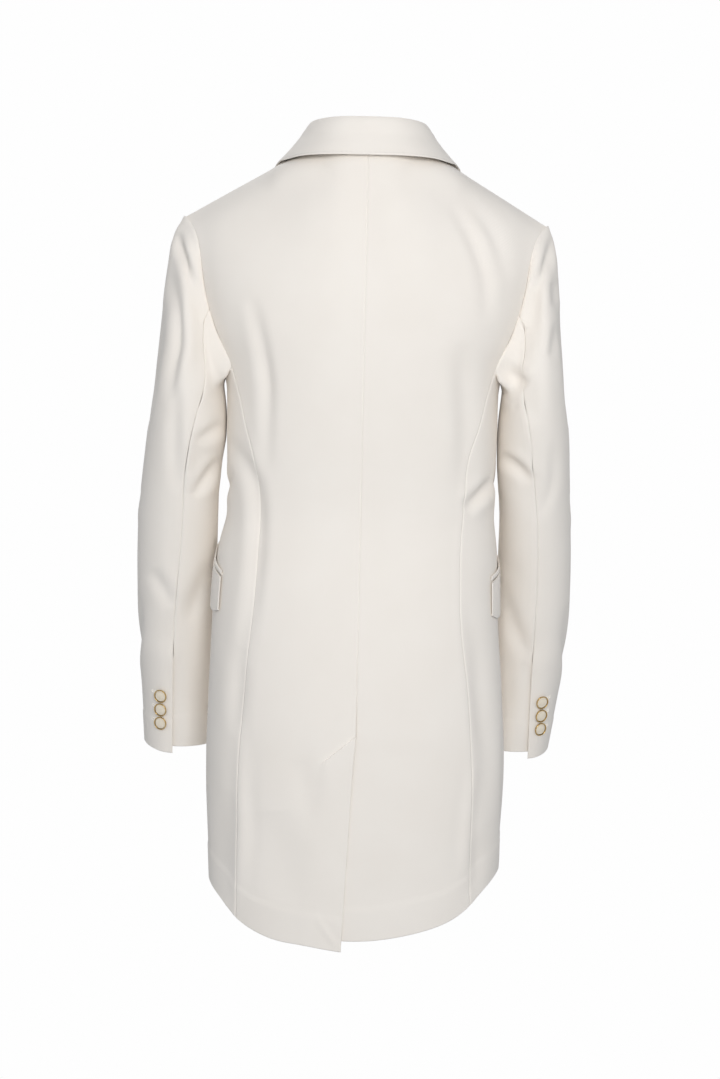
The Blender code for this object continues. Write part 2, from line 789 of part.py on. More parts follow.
def over_body(side, angle, height, lift):
    """A point over the body's ring, moved out by lift, and the direction outwards."""
    point = ring(side, height, angle)
    across = ring(side, height, angle + 0.02) - ring(side, height, angle - 0.02)
    up = ring(side, height + 0.004, angle) - ring(side, height - 0.004, angle)
    normal = unit(np.cross(up, across))
    return mirrored(side, point + normal * lift), mirrored(side, normal)


def pocket_strip(name, side, below, depth, rows, lift):
    """A strip along the slant of the pocket, from `below` under its mouth."""
    points = np.zeros((rows + 1, POCKET_COLUMNS + 1, 3))
    normals = np.zeros_like(points)
    angle = math.radians(POCKET_BACK)
    for i, along in enumerate(steps(POCKET_COLUMNS)):
        mouth = POCKET_HEIGHT + POCKET_LENGTH * along * POCKET_RISE[side]
        for row, down in enumerate(steps(rows)):
            rounded = FLAP_CORNER * depth * down**3 * abs(2 * along - 1) ** 6
            level = mouth - below - depth * down + rounded
            across = ring(side, level, angle)[0]
            raised = lift + overlap_lift(side, across, level)
            points[row, i], normals[row, i] = over_body(side, angle, level, raised)
        pace = np.linalg.norm(ring(side, mouth, angle + 0.01) - ring(side, mouth, angle)) / 0.01
        angle += POCKET_LENGTH / POCKET_COLUMNS / pace
    wall(name, points, normals)


def lathe(name, profile, place, normal, material, sides=14):
    """Turns a closed profile of (radius, height) rows round an axis at a place."""
    helper = np.array([0.0, 0.0, 1.0]) if abs(normal[2]) < 0.9 else np.array([1.0, 0.0, 0.0])
    right = unit(np.cross(helper, normal))
    up = np.cross(normal, right)
    points = []
    faces = []
    rings = []
    for radius, height in profile:
        if radius == 0:
            points.append(place + normal * height)
            rings.append([len(points) - 1] * sides)
            continue
        rings.append(list(range(len(points), len(points) + sides)))
        for i in range(sides):
            turn = 2 * math.pi * i / sides
            points.append(place + normal * height + radius * (right * math.cos(turn) + up * math.sin(turn)))
    hollow = profile[0][0] > 0
    pairs = list(zip(rings, rings[1:] + (rings[:1] if hollow else [])))
    for low, high in pairs:
        for i in range(sides):
            j = (i + 1) % sides
            corners = (low[i], low[j], high[j], high[i])
            faces += [face for face in (corners[:3], (corners[0], corners[2], corners[3])) if len(set(face)) == 3]
    solid(name, np.array(points), faces, material)


def make_button(name, place, normal, radius):
    """A metal rim round a pale, slightly domed face, 0.3 mm off the cloth."""
    base = place + normal * SEAM
    inner = radius * 0.80
    rim = (
        (inner, 0.0006),
        (inner, 0.0020),
        (radius * 0.88, 0.0030),
        (radius * 0.97, 0.0024),
        (radius, 0.0012),
        (radius * 0.90, 0.0),
        (radius * 0.82, 0.0),
    )
    lathe(name + "_rim", rim, base, normal, plain_material(name + "_rim", GOLD, 0.3, 1.0))
    edge = inner - SEAM
    face = ((0, 0.0), (edge * 0.7, 0.0), (edge, 0.0006), (edge, 0.0016), (edge * 0.55, 0.0021), (0, 0.0023))
    lathe(name + "_face", face, base, normal, plain_material(name + "_face", IVORY, 0.35, 0.0))


def cuff_place(top, normals, height):
    """A place on a top sleeve, a little in from the edge of the cuff vent."""
    row = next(k for k in range(top.shape[1] - 1) if top[0, k + 1, 2] <= height)
    t = (top[0, row, 2] - height) / (top[0, row, 2] - top[0, row + 1, 2])
    line = blend(top[:, row], top[:, row + 1], t)
    facing_line = blend(normals[:, row], normals[:, row + 1], t)
    walked = 0.0
    for i in range(len(line) - 1):
        length = np.linalg.norm(line[i + 1] - line[i])
        if walked + length >= CUFF_BUTTON_INSET:
            share = (CUFF_BUTTON_INSET - walked) / length
            return blend(line[i], line[i + 1], share), unit(blend(facing_line[i], facing_line[i + 1], share))
        walked += length
    return line[-1], unit(facing_line[-1])


def make_cuff_buttons(word, top, normals):
    for k in range(3):
        height = CUFF_BUTTON_TOP - k * CUFF_BUTTON_SPACING
        place, normal = cuff_place(top, normals, height)
        make_button(f"cuff_button_{word}_{k + 1}", place + normal * BUTTON_LIFT, normal, BUTTON_RADIUS)


def make_front_buttons():
    for number, (height, across) in enumerate(FRONT_BUTTONS):
        for word, x in (("left", across), ("right", -across)):
            angle = math.pi - across_angle(-1, height, -x)
            place, normal = over_body(-1, angle, height, OVERLAP_LIFT + BUTTON_LIFT)
            make_button(f"front_button_{word}_{number + 1}", place, normal, FRONT_BUTTON_RADIUS)


# ----------------------------------------------------------------- the garment


def clear_scene():
    for thing in list(bpy.data.objects):
        bpy.data.objects.remove(thing)


def make_coat():
    clear_scene()
    for word, side in SIDES:
        make_back(word, side)
        make_side(word, side)
        make_front(word, side)
        make_lapel(word, side)
        top, normals = make_sleeve(word, side)
        make_cuff_buttons(word, top, normals)
        pocket_strip("pocket_flap_" + word, side, JET_DEPTH + JET_GAP, FLAP_DEPTH, FLAP_ROWS, LAP)
        pocket_strip("pocket_jet_" + word, side, 0.0, JET_DEPTH, 1, LAP - 2 * SEAM)
    make_collar()
    make_front_buttons()


make_coat()
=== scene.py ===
"""A cream double-breasted coat, filled out as if worn and seen from behind.

Metres, +Z up. The wearer faces -Y, and the wearer's left is +X. "Left" and "right"
in names are the wearer's.
"""

import math

import bmesh
import bpy
import numpy as np
from mathutils import Matrix, Vector
from mathutils.bvhtree import BVHTree


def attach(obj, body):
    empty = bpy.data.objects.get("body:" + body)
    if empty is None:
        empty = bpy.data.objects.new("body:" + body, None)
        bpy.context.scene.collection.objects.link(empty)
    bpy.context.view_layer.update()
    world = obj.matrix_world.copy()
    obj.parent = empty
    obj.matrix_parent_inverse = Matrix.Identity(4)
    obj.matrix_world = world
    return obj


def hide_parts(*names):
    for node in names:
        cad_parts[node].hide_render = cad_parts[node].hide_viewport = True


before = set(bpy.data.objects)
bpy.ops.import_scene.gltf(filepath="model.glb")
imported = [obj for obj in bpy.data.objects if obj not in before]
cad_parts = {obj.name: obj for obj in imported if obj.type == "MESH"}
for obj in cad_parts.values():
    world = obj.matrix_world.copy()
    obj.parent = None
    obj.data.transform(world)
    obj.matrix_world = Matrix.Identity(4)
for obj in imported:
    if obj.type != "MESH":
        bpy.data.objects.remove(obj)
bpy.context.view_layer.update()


# ------------------------------------------------------------------------ camera
# The photograph was taken from behind, level with the waist of a tall stand and
# looking slightly down, with a lens long enough to keep the coat's sides straight.

VIEW_PLACE = Vector((0.0, 2.3, -0.225))
VIEW_DOWN = math.radians(5.0)
VIEW_ROLL = math.radians(1.2)  # the picture is turned this much clockwise
LENS = 68.86  # mm
FILM = 36.0

ahead = Vector((0, -math.cos(VIEW_DOWN), -math.sin(VIEW_DOWN)))
upward = Vector((0, -math.sin(VIEW_DOWN), math.cos(VIEW_DOWN)))
rightward = Vector((-1, 0, 0))
picture_x = rightward * math.cos(VIEW_ROLL) + upward * math.sin(VIEW_ROLL)
picture_y = upward * math.cos(VIEW_ROLL) - rightward * math.sin(VIEW_ROLL)

camera = bpy.data.objects.new("camera", bpy.data.cameras.new("camera"))
camera.data.lens = LENS
camera.data.sensor_width = FILM
turned = Matrix((picture_x, picture_y, -ahead)).transposed().to_4x4()
camera.matrix_world = Matrix.Translation(VIEW_PLACE) @ turned
bpy.context.scene.collection.objects.link(camera)
bpy.context.scene.camera = camera


# -------------------------------------------------------------------------- body
# The body is six panels of cream wool-blend twill: two backs, two side bodies and
# two fronts, sewn edge to edge and pressed. Each is a shell of one doubled cloth,
# drawn over the panel's own packed form, with the pulls and folds a worn coat has.

CLOTH = 0.0018  # thickness of cloth and facing together
STEP = 0.0034  # spacing of the shells' points
NEAR_EDGE = np.array([0.0, 0.0005, 0.0012, 0.0022])  # closer ones where edges turn
SKIN_TURN = math.radians(60)  # a packed wall's rim stands squarer than this to its skin
RIM_EDGE = 0.01  # and its triangles have an edge as long as the wall is thick, this closely
PRESSINGS = 160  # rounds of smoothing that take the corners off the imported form
PRESS_IN = 0.5  # how far a point goes to the middle of its neighbours,
PRESS_OUT = -0.51  # and how far back, so that the form doesn't shrink

NECK_SKIP = 3.5  # where the back meets the neck, points this much wider apart
NECK_PRESSINGS = 150  # have this many more rounds
NECK_LOW, NECK_TOP = -0.22, -0.14  # heights between which that sets in
NECK_INNER = (0.020, 0.050)  # and how far from the centre seam it does,
NECK_OUTER = (0.160, 0.125)  # and ends

SEAM_SINK = 0.0004  # a pressed seam lies this much lower
SEAM_REACH = 0.0014
SEAM_DRAWN = 0.00014  # and its edges meet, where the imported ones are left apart
SEAM_RIDGE = 0.00025  # the allowances beneath raise the cloth beside it
SEAM_ALLOWANCE = 0.010
ARMHOLE_ROLL = 0.0005  # the sleeve's head rolls up over its allowance,
ARMHOLE_REACH = 0.012  # this far from the armhole,
ARMHOLE_SINK = 0.0003  # and goes down into the seam
ARMHOLE_DIP = 0.0030  # over this width
ARMHOLE_DRAWN = 0.0030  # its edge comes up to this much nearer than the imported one
ARMHOLE_PULL = 1.5  # because it meets the body at a slant
FOLDS_FADE = 0.008  # the folds begin this far below a seam that holds the top
EDGE_ROUND = 0.0011  # radius of a turned edge
HEM_TURN = 0.037  # depth of the turned-up hem
HEM_STEP = 0.0007  # height of its upper edge, seen through the cloth
HEM_BLUR = 0.0012

VENT_TOP = -0.6285
WELT_END = (0.0353, -0.6583)  # the stitching that holds the vent slants down to here
WELT_STEP = 0.0018  # how far the vent's facing raises the cloth below it
WELT_CRISP = 0.0004  # half the width of that step
WELT_BLUR = 0.002  # half the width at the stitching's end,
WELT_SPREAD = 0.3  # which grows by this for each metre down
WELT_FADE = (0.10, 0.005)  # and the raised part is lost between these depths
WELT_ROWS = np.array([-0.0011, -0.0004, 0.0, 0.0004, 0.0011])  # close rows along it
WELT_PULL = 0.12  # how far up and down the other rows bend with it
WELT_SLOPE = (WELT_END[1] - VENT_TOP) / WELT_END[0]

FOLD_PIECES = 25  # places along the curve of a fold
FOLD_TAPER = 0.75  # below 1, a fold keeps its depth nearer to its ends
RIDGE_PLACE = 1.8  # where the ridges beside a fold lie, in its widths
RIDGE_BREADTH = 1.2

# hex colours, sRGB
WOOL = "#F2ECE4"
WOOL_SHADE = "#EDE6DD"

TWILL = 0.0014  # one rib; the real one, 0.5 mm, is too fine to show
TWILL_SLANT = math.radians(63)
NAP = 0.0030  # tufts of the raised fibre
CLOUDS = 0.060  # uneven take-up of the dye
PRICK_SPACING = 0.0050  # hand-pricked stitches along the turned edges
PRICK_INSET = 0.0030
PRICK_SIZE = 0.0012


def linear(colour):
    """An sRGB hex colour as linear values."""
    parts = [int(colour[i : i + 2], 16) / 255 for i in (1, 3, 5)]
    return (*[v / 12.92 if v <= 0.04045 else ((v + 0.055) / 1.055) ** 2.4 for v in parts], 1.0)


def add(tree, kind, values=None, links=None, **settings):
    """Adds a node. values are put on its sockets, links join outputs of others to them."""
    made = tree.nodes.new("ShaderNode" + kind)
    for name, value in settings.items():
        setattr(made, name, value)
    for name, value in (values or {}).items():
        made.inputs[name].default_value = value
    for name, output in (links or {}).items():
        tree.links.new(output, made.inputs[name])
    return made


def wool_twill():
    """Pressed wool-blend twill: matt, with a soft bloom where it turns away."""
    material = bpy.data.materials.new("wool_twill")
    material.use_nodes = True
    tree = material.node_tree
    shader = tree.nodes["Principled BSDF"]
    shader.inputs["Roughness"].default_value = 0.86
    shader.inputs["Sheen Weight"].default_value = 0.05
    shader.inputs["Sheen Roughness"].default_value = 0.45
    shader.inputs["Specular IOR Level"].default_value = 0.20
    flat = add(tree, "UVMap", uv_map="cloth")
    place = add(tree, "TexCoord")
    clouds = add(tree, "TexNoise", {"Scale": 1 / CLOUDS, "Detail": 3.0}, {"Vector": place.outputs["Object"]})
    shades = {6: linear(WOOL_SHADE), 7: linear(WOOL)}
    tint = add(tree, "Mix", shades, {0: clouds.outputs["Fac"]}, data_type="RGBA")
    tree.links.new(tint.outputs[2], shader.inputs["Base Color"])
    turned = add(tree, "Mapping", {"Rotation": (0, 0, TWILL_SLANT)}, {"Vector": flat.outputs["UV"]})
    ribs = add(
        tree,
        "TexWave",
        {"Scale": 2 * math.pi / 20 / TWILL, "Distortion": 1.5, "Detail": 1.0},
        {"Vector": turned.outputs["Vector"]},
    )
    nap = add(tree, "TexNoise", {"Scale": 1 / NAP, "Detail": 4.0}, {"Vector": place.outputs["Object"]})
    both = add(tree, "Mix", {0: 0.45}, {2: ribs.outputs["Fac"], 3: nap.outputs["Fac"]})
    relief = add(tree, "Bump", {"Strength": 0.25, "Distance": 0.0002}, {"Height": both.outputs[0]})
    edge = add(tree, "UVMap", uv_map="edge")
    beside = add(tree, "SeparateXYZ", links={"Vector": edge.outputs["UV"]})
    spaced = add(tree, "Math", {1: PRICK_SPACING}, {0: beside.outputs["X"]}, operation="MODULO")
    short = add(tree, "Math", {1: PRICK_SIZE}, {0: spaced.outputs[0]}, operation="LESS_THAN")
    row = {1: PRICK_INSET, 2: PRICK_SIZE / 2}
    inset = add(tree, "Math", row, {0: beside.outputs["Y"]}, operation="COMPARE")
    prick = add(tree, "Math", links={0: short.outputs[0], 1: inset.outputs[0]}, operation="MULTIPLY")
    pricked = add(
        tree,
        "Bump",
        {"Strength": 0.9, "Distance": 0.0005},
        {"Height": prick.outputs[0], "Normal": relief.outputs["Normal"]},
        invert=True,
    )
    tree.links.new(pricked.outputs["Normal"], shader.inputs["Normal"])
    return material


wool = wool_twill()


def packed_grid(node, across):
    """The outer skin of a packed wall as rows of points, top first.

    Its triangles form a grid, so inside the skin each point's row and column are the
    averages of its neighbours'. Columns run along `across`. The second value is the
    side that the wall's outside lies on.
    """
    shape = bmesh.new()
    shape.from_mesh(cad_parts[node].data)
    bmesh.ops.remove_doubles(shape, verts=shape.verts, dist=1e-6)
    shape.normal_update()
    shape.verts.index_update()
    skins = []
    seen = {f for f in shape.faces if any(abs(e.calc_length() / CLOTH - 1) < RIM_EDGE for e in f.edges)}
    for first in shape.faces:
        skin = [] if first in seen else [first]
        seen.add(first)
        for face in skin:
            for other in (other for edge in face.edges for other in edge.link_faces):
                if other not in seen and face.normal.angle(other.normal, 0) < SKIN_TURN:
                    seen.add(other)
                    skin.append(other)
        skins.append(skin)
    skin = max(skins, key=lambda faces: sum(face.calc_area() for face in faces))
    triangles = np.array([[vertex.index for vertex in face.verts] for face in skin])
    facing = np.array([face.normal * face.calc_area() for face in skin])
    places = np.array([vertex.co for vertex in shape.verts])
    shape.free()

    pairs = np.vstack([triangles[:, [0, 1]], triangles[:, [1, 2]], triangles[:, [2, 0]]])
    pairs, uses = np.unique(np.sort(pairs, axis=1), axis=0, return_counts=True)
    rim = {}
    for a, b in pairs[uses == 1].tolist():
        rim.setdefault(a, []).append(b)
        rim.setdefault(b, []).append(a)
    shared = np.bincount(triangles.ravel(), minlength=len(places))
    corners = [vertex for vertex in sorted(rim) if shared[vertex] < 3]
    loop = [corners[0], min(rim[corners[0]])]
    while loop[-1] != loop[0]:
        loop.append(next(vertex for vertex in rim[loop[-1]] if vertex != loop[-2]))
    loop.pop()
    a, b, c = [k for k in range(1, len(loop)) if loop[k] in corners]
    spot = {}
    for k, vertex in enumerate(loop):
        if k < a:
            spot[vertex] = (k, 0)
        elif k < b:
            spot[vertex] = (a, k - a)
        elif k < c:
            spot[vertex] = (a - k + b, b - a)
        else:
            spot[vertex] = (0, len(loop) - k)

    inner = [vertex for vertex in np.unique(triangles).tolist() if vertex not in spot]
    order = {vertex: k for k, vertex in enumerate(inner)}
    balance = np.zeros((len(inner), len(inner)))
    fixed = np.zeros((len(inner), 2))
    for pair in pairs.tolist():
        for vertex, other in (pair, pair[::-1]):
            if vertex in order:
                balance[order[vertex], order[vertex]] += 1
                if other in order:
                    balance[order[vertex], order[other]] -= 1
                else:
                    fixed[order[vertex]] += spot[other]
    if inner:
        spot.update(zip(inner, np.rint(np.linalg.solve(balance, fixed)).astype(int).tolist()))

    grid = np.zeros((a + 1, b - a + 1, 3))
    for vertex, (row, column) in spot.items():
        grid[row, column] = places[vertex]
    ways = [edges[-1].mean(axis=0) - edges[0].mean(axis=0) for edges in (grid, grid.transpose(1, 0, 2))]
    along = [abs(way @ across) / np.linalg.norm(way) for way in ways]
    if along[0] > along[1]:
        grid = grid.transpose(1, 0, 2)
        ways = ways[::-1]
    if ways[1] @ across < 0:
        grid = grid[:, ::-1]
    if ways[0][2] > 0:
        grid = grid[::-1]
    same = grid_normals(grid, 1.0).mean(axis=(0, 1)) @ facing.sum(axis=0) > 0
    return grid, 1.0 if same else -1.0


def grid_normals(points, outside):
    """Directions square to a grid of points, on the given side."""
    normals = np.cross(np.gradient(points, axis=1), np.gradient(points, axis=0)) * outside
    return normals / np.maximum(np.linalg.norm(normals, axis=-1, keepdims=True), 1e-12)


def smooth_read(values, knots, places):
    """Reads rows of values, given at the knots, at other places along a smooth curve.

    Its slopes are held down beside a kink, so that the curve never swings past it.
    """
    gaps = np.diff(knots).reshape(-1, *[1] * (values.ndim - 1))
    rise = np.diff(values, axis=0) / gaps
    before, after = rise[:-1], rise[1:]
    slope = (gaps[1:] * before + gaps[:-1] * after) / (gaps[1:] + gaps[:-1])
    limit = np.minimum(abs(before), abs(after)) * np.where(before * after > 0, 3.0, 1.0)
    slope = np.clip(slope, -limit, limit)
    if len(slope):
        slope = np.concatenate([(3 * rise[:1] - slope[:1]) / 2, slope, (3 * rise[-1:] - slope[-1:]) / 2])
    else:
        slope = np.concatenate([rise, rise])
    k = np.clip(np.searchsorted(knots, places, side="right") - 1, 0, len(knots) - 2)
    t = ((places - knots[k]) / np.diff(knots)[k]).reshape(-1, *[1] * (values.ndim - 1))
    start = values[k] * (2 * t**3 - 3 * t**2 + 1) + slope[k] * gaps[k] * (t**3 - 2 * t**2 + t)
    return start + values[k + 1] * (3 * t**2 - 2 * t**3) + slope[k + 1] * gaps[k] * (t**3 - t**2)


def arc_lengths(points, axis):
    """How far each point of a grid is from its first row (axis 0) or column (axis 1)."""
    steps = np.linalg.norm(np.diff(points, axis=axis), axis=-1)
    return np.concatenate([np.zeros_like(np.take(steps, [0], axis)), np.cumsum(steps, axis)], axis)


def finer(grid, step, near):
    """The same surface with points every step, and at some distances from its edges."""
    for axis in (0, 1):
        knots = arc_lengths(grid, axis).mean(axis=1 - axis)
        count = max(round((knots[-1] - 2 * near[-1]) / step), 1)
        middle = np.linspace(near[-1], knots[-1] - near[-1], count + 1)
        places = np.concatenate([near[:-1], middle, knots[-1] - near[-2::-1]])
        grid = np.moveaxis(smooth_read(np.moveaxis(grid, axis, 0), knots, places), 0, axis)
    return grid


def ease(low, high, value):
    """0 up to low, 1 from high on, and smooth between. low may be above high."""
    t = np.clip((value - low) / (high - low), 0, 1)
    return t * t * (3 - 2 * t)


def pressed(grid, rounds):
    """Takes the corners off a surface without shrinking it. Its edges stay."""
    for turn in range(2 * rounds):
        beside = (grid[:-2, 1:-1] + grid[2:, 1:-1] + grid[1:-1, :-2] + grid[1:-1, 2:]) / 4
        grid[1:-1, 1:-1] += (beside - grid[1:-1, 1:-1]) * (PRESS_OUT if turn % 2 else PRESS_IN)
    return grid


def eased_neck(grid):
    """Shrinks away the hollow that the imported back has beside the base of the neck."""
    every = [np.arange(size) for size in grid.shape[:2]]
    some = [np.linspace(0, size - 1, round(size / NECK_SKIP)) for size in grid.shape[:2]]
    broad = pressed(read_at(grid, every, some), NECK_PRESSINGS)
    aside, height = abs(grid[..., 0]), grid[..., 2]
    share = ease(NECK_LOW, NECK_TOP, height) * ease(*NECK_INNER, aside) * ease(*NECK_OUTER, aside)
    return grid + (read_at(broad, some, every) - grid) * share[..., None]


def read_at(grid, knots, places):
    """Reads a grid's rows and columns, given at the knots, at other places."""
    for axis in (0, 1):
        grid = np.moveaxis(smooth_read(np.moveaxis(grid, axis, 0), knots[axis], places[axis]), 0, axis)
    return grid


def closed(grid, edges, body):
    """Draws the sewn edges out over the gap that is left between packed walls."""
    turned = grid.transpose(1, 0, 2)
    for kind, first, second in zip(
        edges, (grid[0], grid[-1], turned[0], turned[-1]), (grid[1], grid[-2], turned[1], turned[-2])
    ):
        sewn, height = (kind[0], kind[2]) if isinstance(kind, tuple) else (kind, -math.inf)
        drawn = np.where(first[:, 2:] > height, SEAM_DRAWN if sewn == "seam" else 0.0, 0.0)
        if sewn == "armhole":
            gaps = [min(panel.find_nearest(Vector(point))[3] for panel in body) for point in first]
            drawn = np.clip(ARMHOLE_PULL * np.array(gaps)[:, None], 0, ARMHOLE_DRAWN)
        way = first - second
        first += way / np.linalg.norm(way, axis=-1, keepdims=True) * drawn


def along_welt(grid):
    """Bends the rows at the top of the vent, so that some run close along its welt."""
    rows = np.arange(len(grid))
    spacing = np.linalg.norm(grid[0, 0] - grid[-1, 0]) / rows[-1]
    top = np.interp(-VENT_TOP, -grid[:, 0, 2], rows)
    kept = rows[abs(rows - top) * spacing > WELT_ROWS[-1] + spacing / 4]
    wanted = np.sort(np.concatenate([kept, top + WELT_ROWS / spacing]))
    level = np.interp(wanted, rows, grid[:, 0, 2])
    pull = ease(VENT_TOP + WELT_PULL, VENT_TOP, level) * ease(VENT_TOP - WELT_PULL, VENT_TOP, level)
    bent = np.zeros((len(wanted), *grid.shape[1:]))
    for column in range(grid.shape[1]):
        line = grid[:, column]
        across = line[round(top), 0]
        height = np.interp(wanted, rows, line[:, 2]) + WELT_SLOPE * min(across, WELT_END[0]) * pull
        for axis in range(3):
            bent[:, column, axis] = np.interp(-height, -line[:, 2], line[:, axis])
    return bent


def welt_heights(points):
    """The vent's facing, folded in below the slanted welt, raises the cloth there."""
    across, height = points[..., 0], points[..., 2]
    below = VENT_TOP + WELT_SLOPE * across - height
    spread = WELT_BLUR + WELT_SPREAD * np.clip(below, 0, None)
    inside = ease(WELT_END[0] + spread, WELT_END[0] - spread, across)
    return WELT_STEP * inside * ease(-WELT_CRISP, WELT_CRISP, below) * ease(*WELT_FADE, below)


# where a fold is looked at from: the axis that counts as across, and the way it faces
LOOKS = {
    "back": (0, (0, 1, 0)),
    "front": (0, (0, -1, 0)),
    "left": (1, (1, 0, 0)),
    "right": (1, (-1, 0, 0)),
}


def fold_heights(points, normals, fold):
    """A soft fold along a path of (across, height) places that runs down, in metres.

    It is a trough, or a rise where the depth is negative. The two last values are the
    ridges beside it, as shares of its depth: on the side of greater x or y, and of less.
    """
    look, path, depth, width, ridge_on, ridge_off = fold
    axis, facing = LOOKS[look]
    path = np.array(path)
    line = smooth_read(path, np.arange(len(path)), np.linspace(0, len(path) - 1, FOLD_PIECES))
    flat = points[..., [axis, 2]]
    start = line[:-1]
    way = np.diff(line, axis=0)
    length = np.linalg.norm(way, axis=1)
    offset = flat[..., None, :] - start
    t = np.clip((offset * way).sum(axis=-1) / length**2, 0, 1)
    aside = offset - t[..., None] * way
    gap = np.linalg.norm(aside, axis=-1)
    nearest = gap.argmin(axis=-1)[..., None]
    gap = np.take_along_axis(gap, nearest, -1)[..., 0]
    turn = way[:, 0] * offset[..., 1] - way[:, 1] * offset[..., 0]
    off = np.take_along_axis(turn, nearest, -1)[..., 0] < 0
    walked = (nearest[..., 0] + np.take_along_axis(t, nearest, -1)[..., 0]) / len(way)
    taper = np.sin(math.pi * np.clip(walked, 0, 1)) ** FOLD_TAPER
    signed = np.where(off, -gap, gap) / width
    bottom = np.exp(-(signed**2))
    ridges = ridge_on * np.exp(-((signed - RIDGE_PLACE) ** 2) / RIDGE_BREADTH)
    ridges = ridges + ridge_off * np.exp(-((signed + RIDGE_PLACE) ** 2) / RIDGE_BREADTH)
    seen = ease(-0.1, 0.5, normals @ np.array(facing, float))
    return depth * (ridges - bottom) * taper * seen


def edge_heights(distance, kind, points):
    """How the cloth lies beside an edge that is sewn, turned, or left as it is.

    An edge can be of one kind down to a height, and of another from there on.
    """
    if isinstance(kind, tuple):
        above, beneath, height = kind
        share = ease(height + SEAM_REACH, height - SEAM_REACH, points[..., 2])
        upper, lower = edge_heights(distance, above, points), edge_heights(distance, beneath, points)
        return upper * (1 - share) + lower * share
    if kind == "seam":
        return SEAM_RIDGE * ease(SEAM_ALLOWANCE, SEAM_ALLOWANCE * 0.6, distance) - (
            SEAM_SINK + SEAM_RIDGE
        ) * ease(SEAM_REACH, 0.0, distance)
    if kind == "armhole":
        roll = ARMHOLE_ROLL * ease(ARMHOLE_REACH, ARMHOLE_REACH * 0.4, distance)
        return roll - (ARMHOLE_SINK + ARMHOLE_ROLL) * ease(ARMHOLE_DIP, 0.0, distance)
    if kind in ("turned", "hem"):
        left = np.clip(1 - distance / EDGE_ROUND, 0, 1)
        height = -0.8 * EDGE_ROUND * (1 - np.sqrt(1 - left**2 * 0.999))
        if kind == "hem":
            height = height + HEM_STEP * ease(HEM_TURN + HEM_BLUR, HEM_TURN - HEM_BLUR, distance)
        return height
    return np.zeros_like(distance)


def beside_edges(down, over, reaches, stitched):
    """For each point, how far along and how far in from the nearest stitched edge it is."""
    found = np.stack([over, np.ones_like(over)], axis=-1)
    for edge in stitched:
        along = over if edge < 2 else down
        nearer = reaches[edge] < found[..., 1]
        found[nearer] = np.stack([along, reaches[edge]], axis=-1)[nearer]
    return found


def shell(name, points, normals, flat, edged):
    """A closed piece of cloth between a grid and the same grid set in by its thickness."""
    rows, columns = points.shape[:2]
    count = rows * columns
    index = np.arange(count).reshape(rows, columns)
    outer = np.stack([index[:-1, :-1], index[:-1, 1:], index[1:, 1:], index[1:, :-1]], axis=-1)
    outer = outer.reshape(-1, 4)
    rim = np.concatenate([index[0, :-1], index[:-1, -1], index[-1, :0:-1], index[:0:-1, 0]])
    after = np.roll(rim, -1)
    sides = np.stack([after, rim, rim + count, after + count], axis=-1)
    faces = np.vstack([outer, outer[:, ::-1] + count, sides])
    mesh = bpy.data.meshes.new(name)
    layers = np.vstack([points.reshape(-1, 3), (points - normals * CLOTH).reshape(-1, 3)])
    mesh.from_pydata(layers.tolist(), [], faces.tolist())
    first = faces[0]
    way = np.cross(layers[first[1]] - layers[first[0]], layers[first[3]] - layers[first[0]])
    if way @ normals[0, 0] < 0:
        mesh.flip_normals()
    corners = np.zeros(len(mesh.loops), int)
    mesh.loops.foreach_get("vertex_index", corners)
    for layer, values in (("cloth", flat), ("edge", edged)):
        coordinates = mesh.uv_layers.new(name=layer)
        coordinates.data.foreach_set("uv", values.reshape(-1, 2)[corners % count].astype(np.float32).ravel())
    mesh.materials.append(wool)
    mesh.shade_smooth()
    mesh.set_sharp_from_angle(angle=math.radians(60))
    made = bpy.data.objects.new(name, mesh)
    bpy.context.scene.collection.objects.link(made)
    return made


def cloth_piece(
    node, across, edges, folds, step=STEP, press=True, stitched=(), sewn_to=()
):
    """The visible cloth of one packed wall: its form made fine, with folds and edges.

    edges gives the kinds of the top, the bottom, the first column's edge and the last
    one's, and stitched the numbers of those that are pricked by hand. sewn_to are the
    pieces that an armhole's edge is drawn up to.
    """
    grid, outside = packed_grid(node, np.array(across, float))
    if press:
        grid = finer(grid, step, np.zeros(1))
        if node in ("back_left", "back_right"):
            grid = eased_neck(grid)
        grid = pressed(grid, PRESSINGS)
    smooth = finer(grid, step, NEAR_EDGE)
    if node == "back_left":
        smooth = along_welt(smooth)
    body = [BVHTree.FromObject(piece, bpy.context.evaluated_depsgraph_get()) for piece in sewn_to]
    closed(smooth, edges, body)
    normals = grid_normals(smooth, outside)
    down = arc_lengths(smooth, 0)
    over = arc_lengths(smooth, 1)
    reaches = (down, down[-1] - down, over, over[:, -1:] - over)
    height = sum(fold_heights(smooth, normals, fold) for fold in folds) * ease(0.0, FOLDS_FADE, down)
    height += sum(edge_heights(reach, kind, smooth) for reach, kind in zip(reaches, edges))
    if node == "back_left":
        height = height + welt_heights(smooth)
    points = smooth + normals * height[..., None]
    turned = grid_normals(points, outside)
    flat = np.stack([over, -down], axis=-1)
    edged = beside_edges(down, over, reaches, stitched)
    made = shell("coat_" + node, points, turned, flat, edged)
    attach(made, "root")
    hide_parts(node)
    pieces_on[made.name] = []
    return made


pieces_on = {}
SIDES = (("left", 1), ("right", -1))

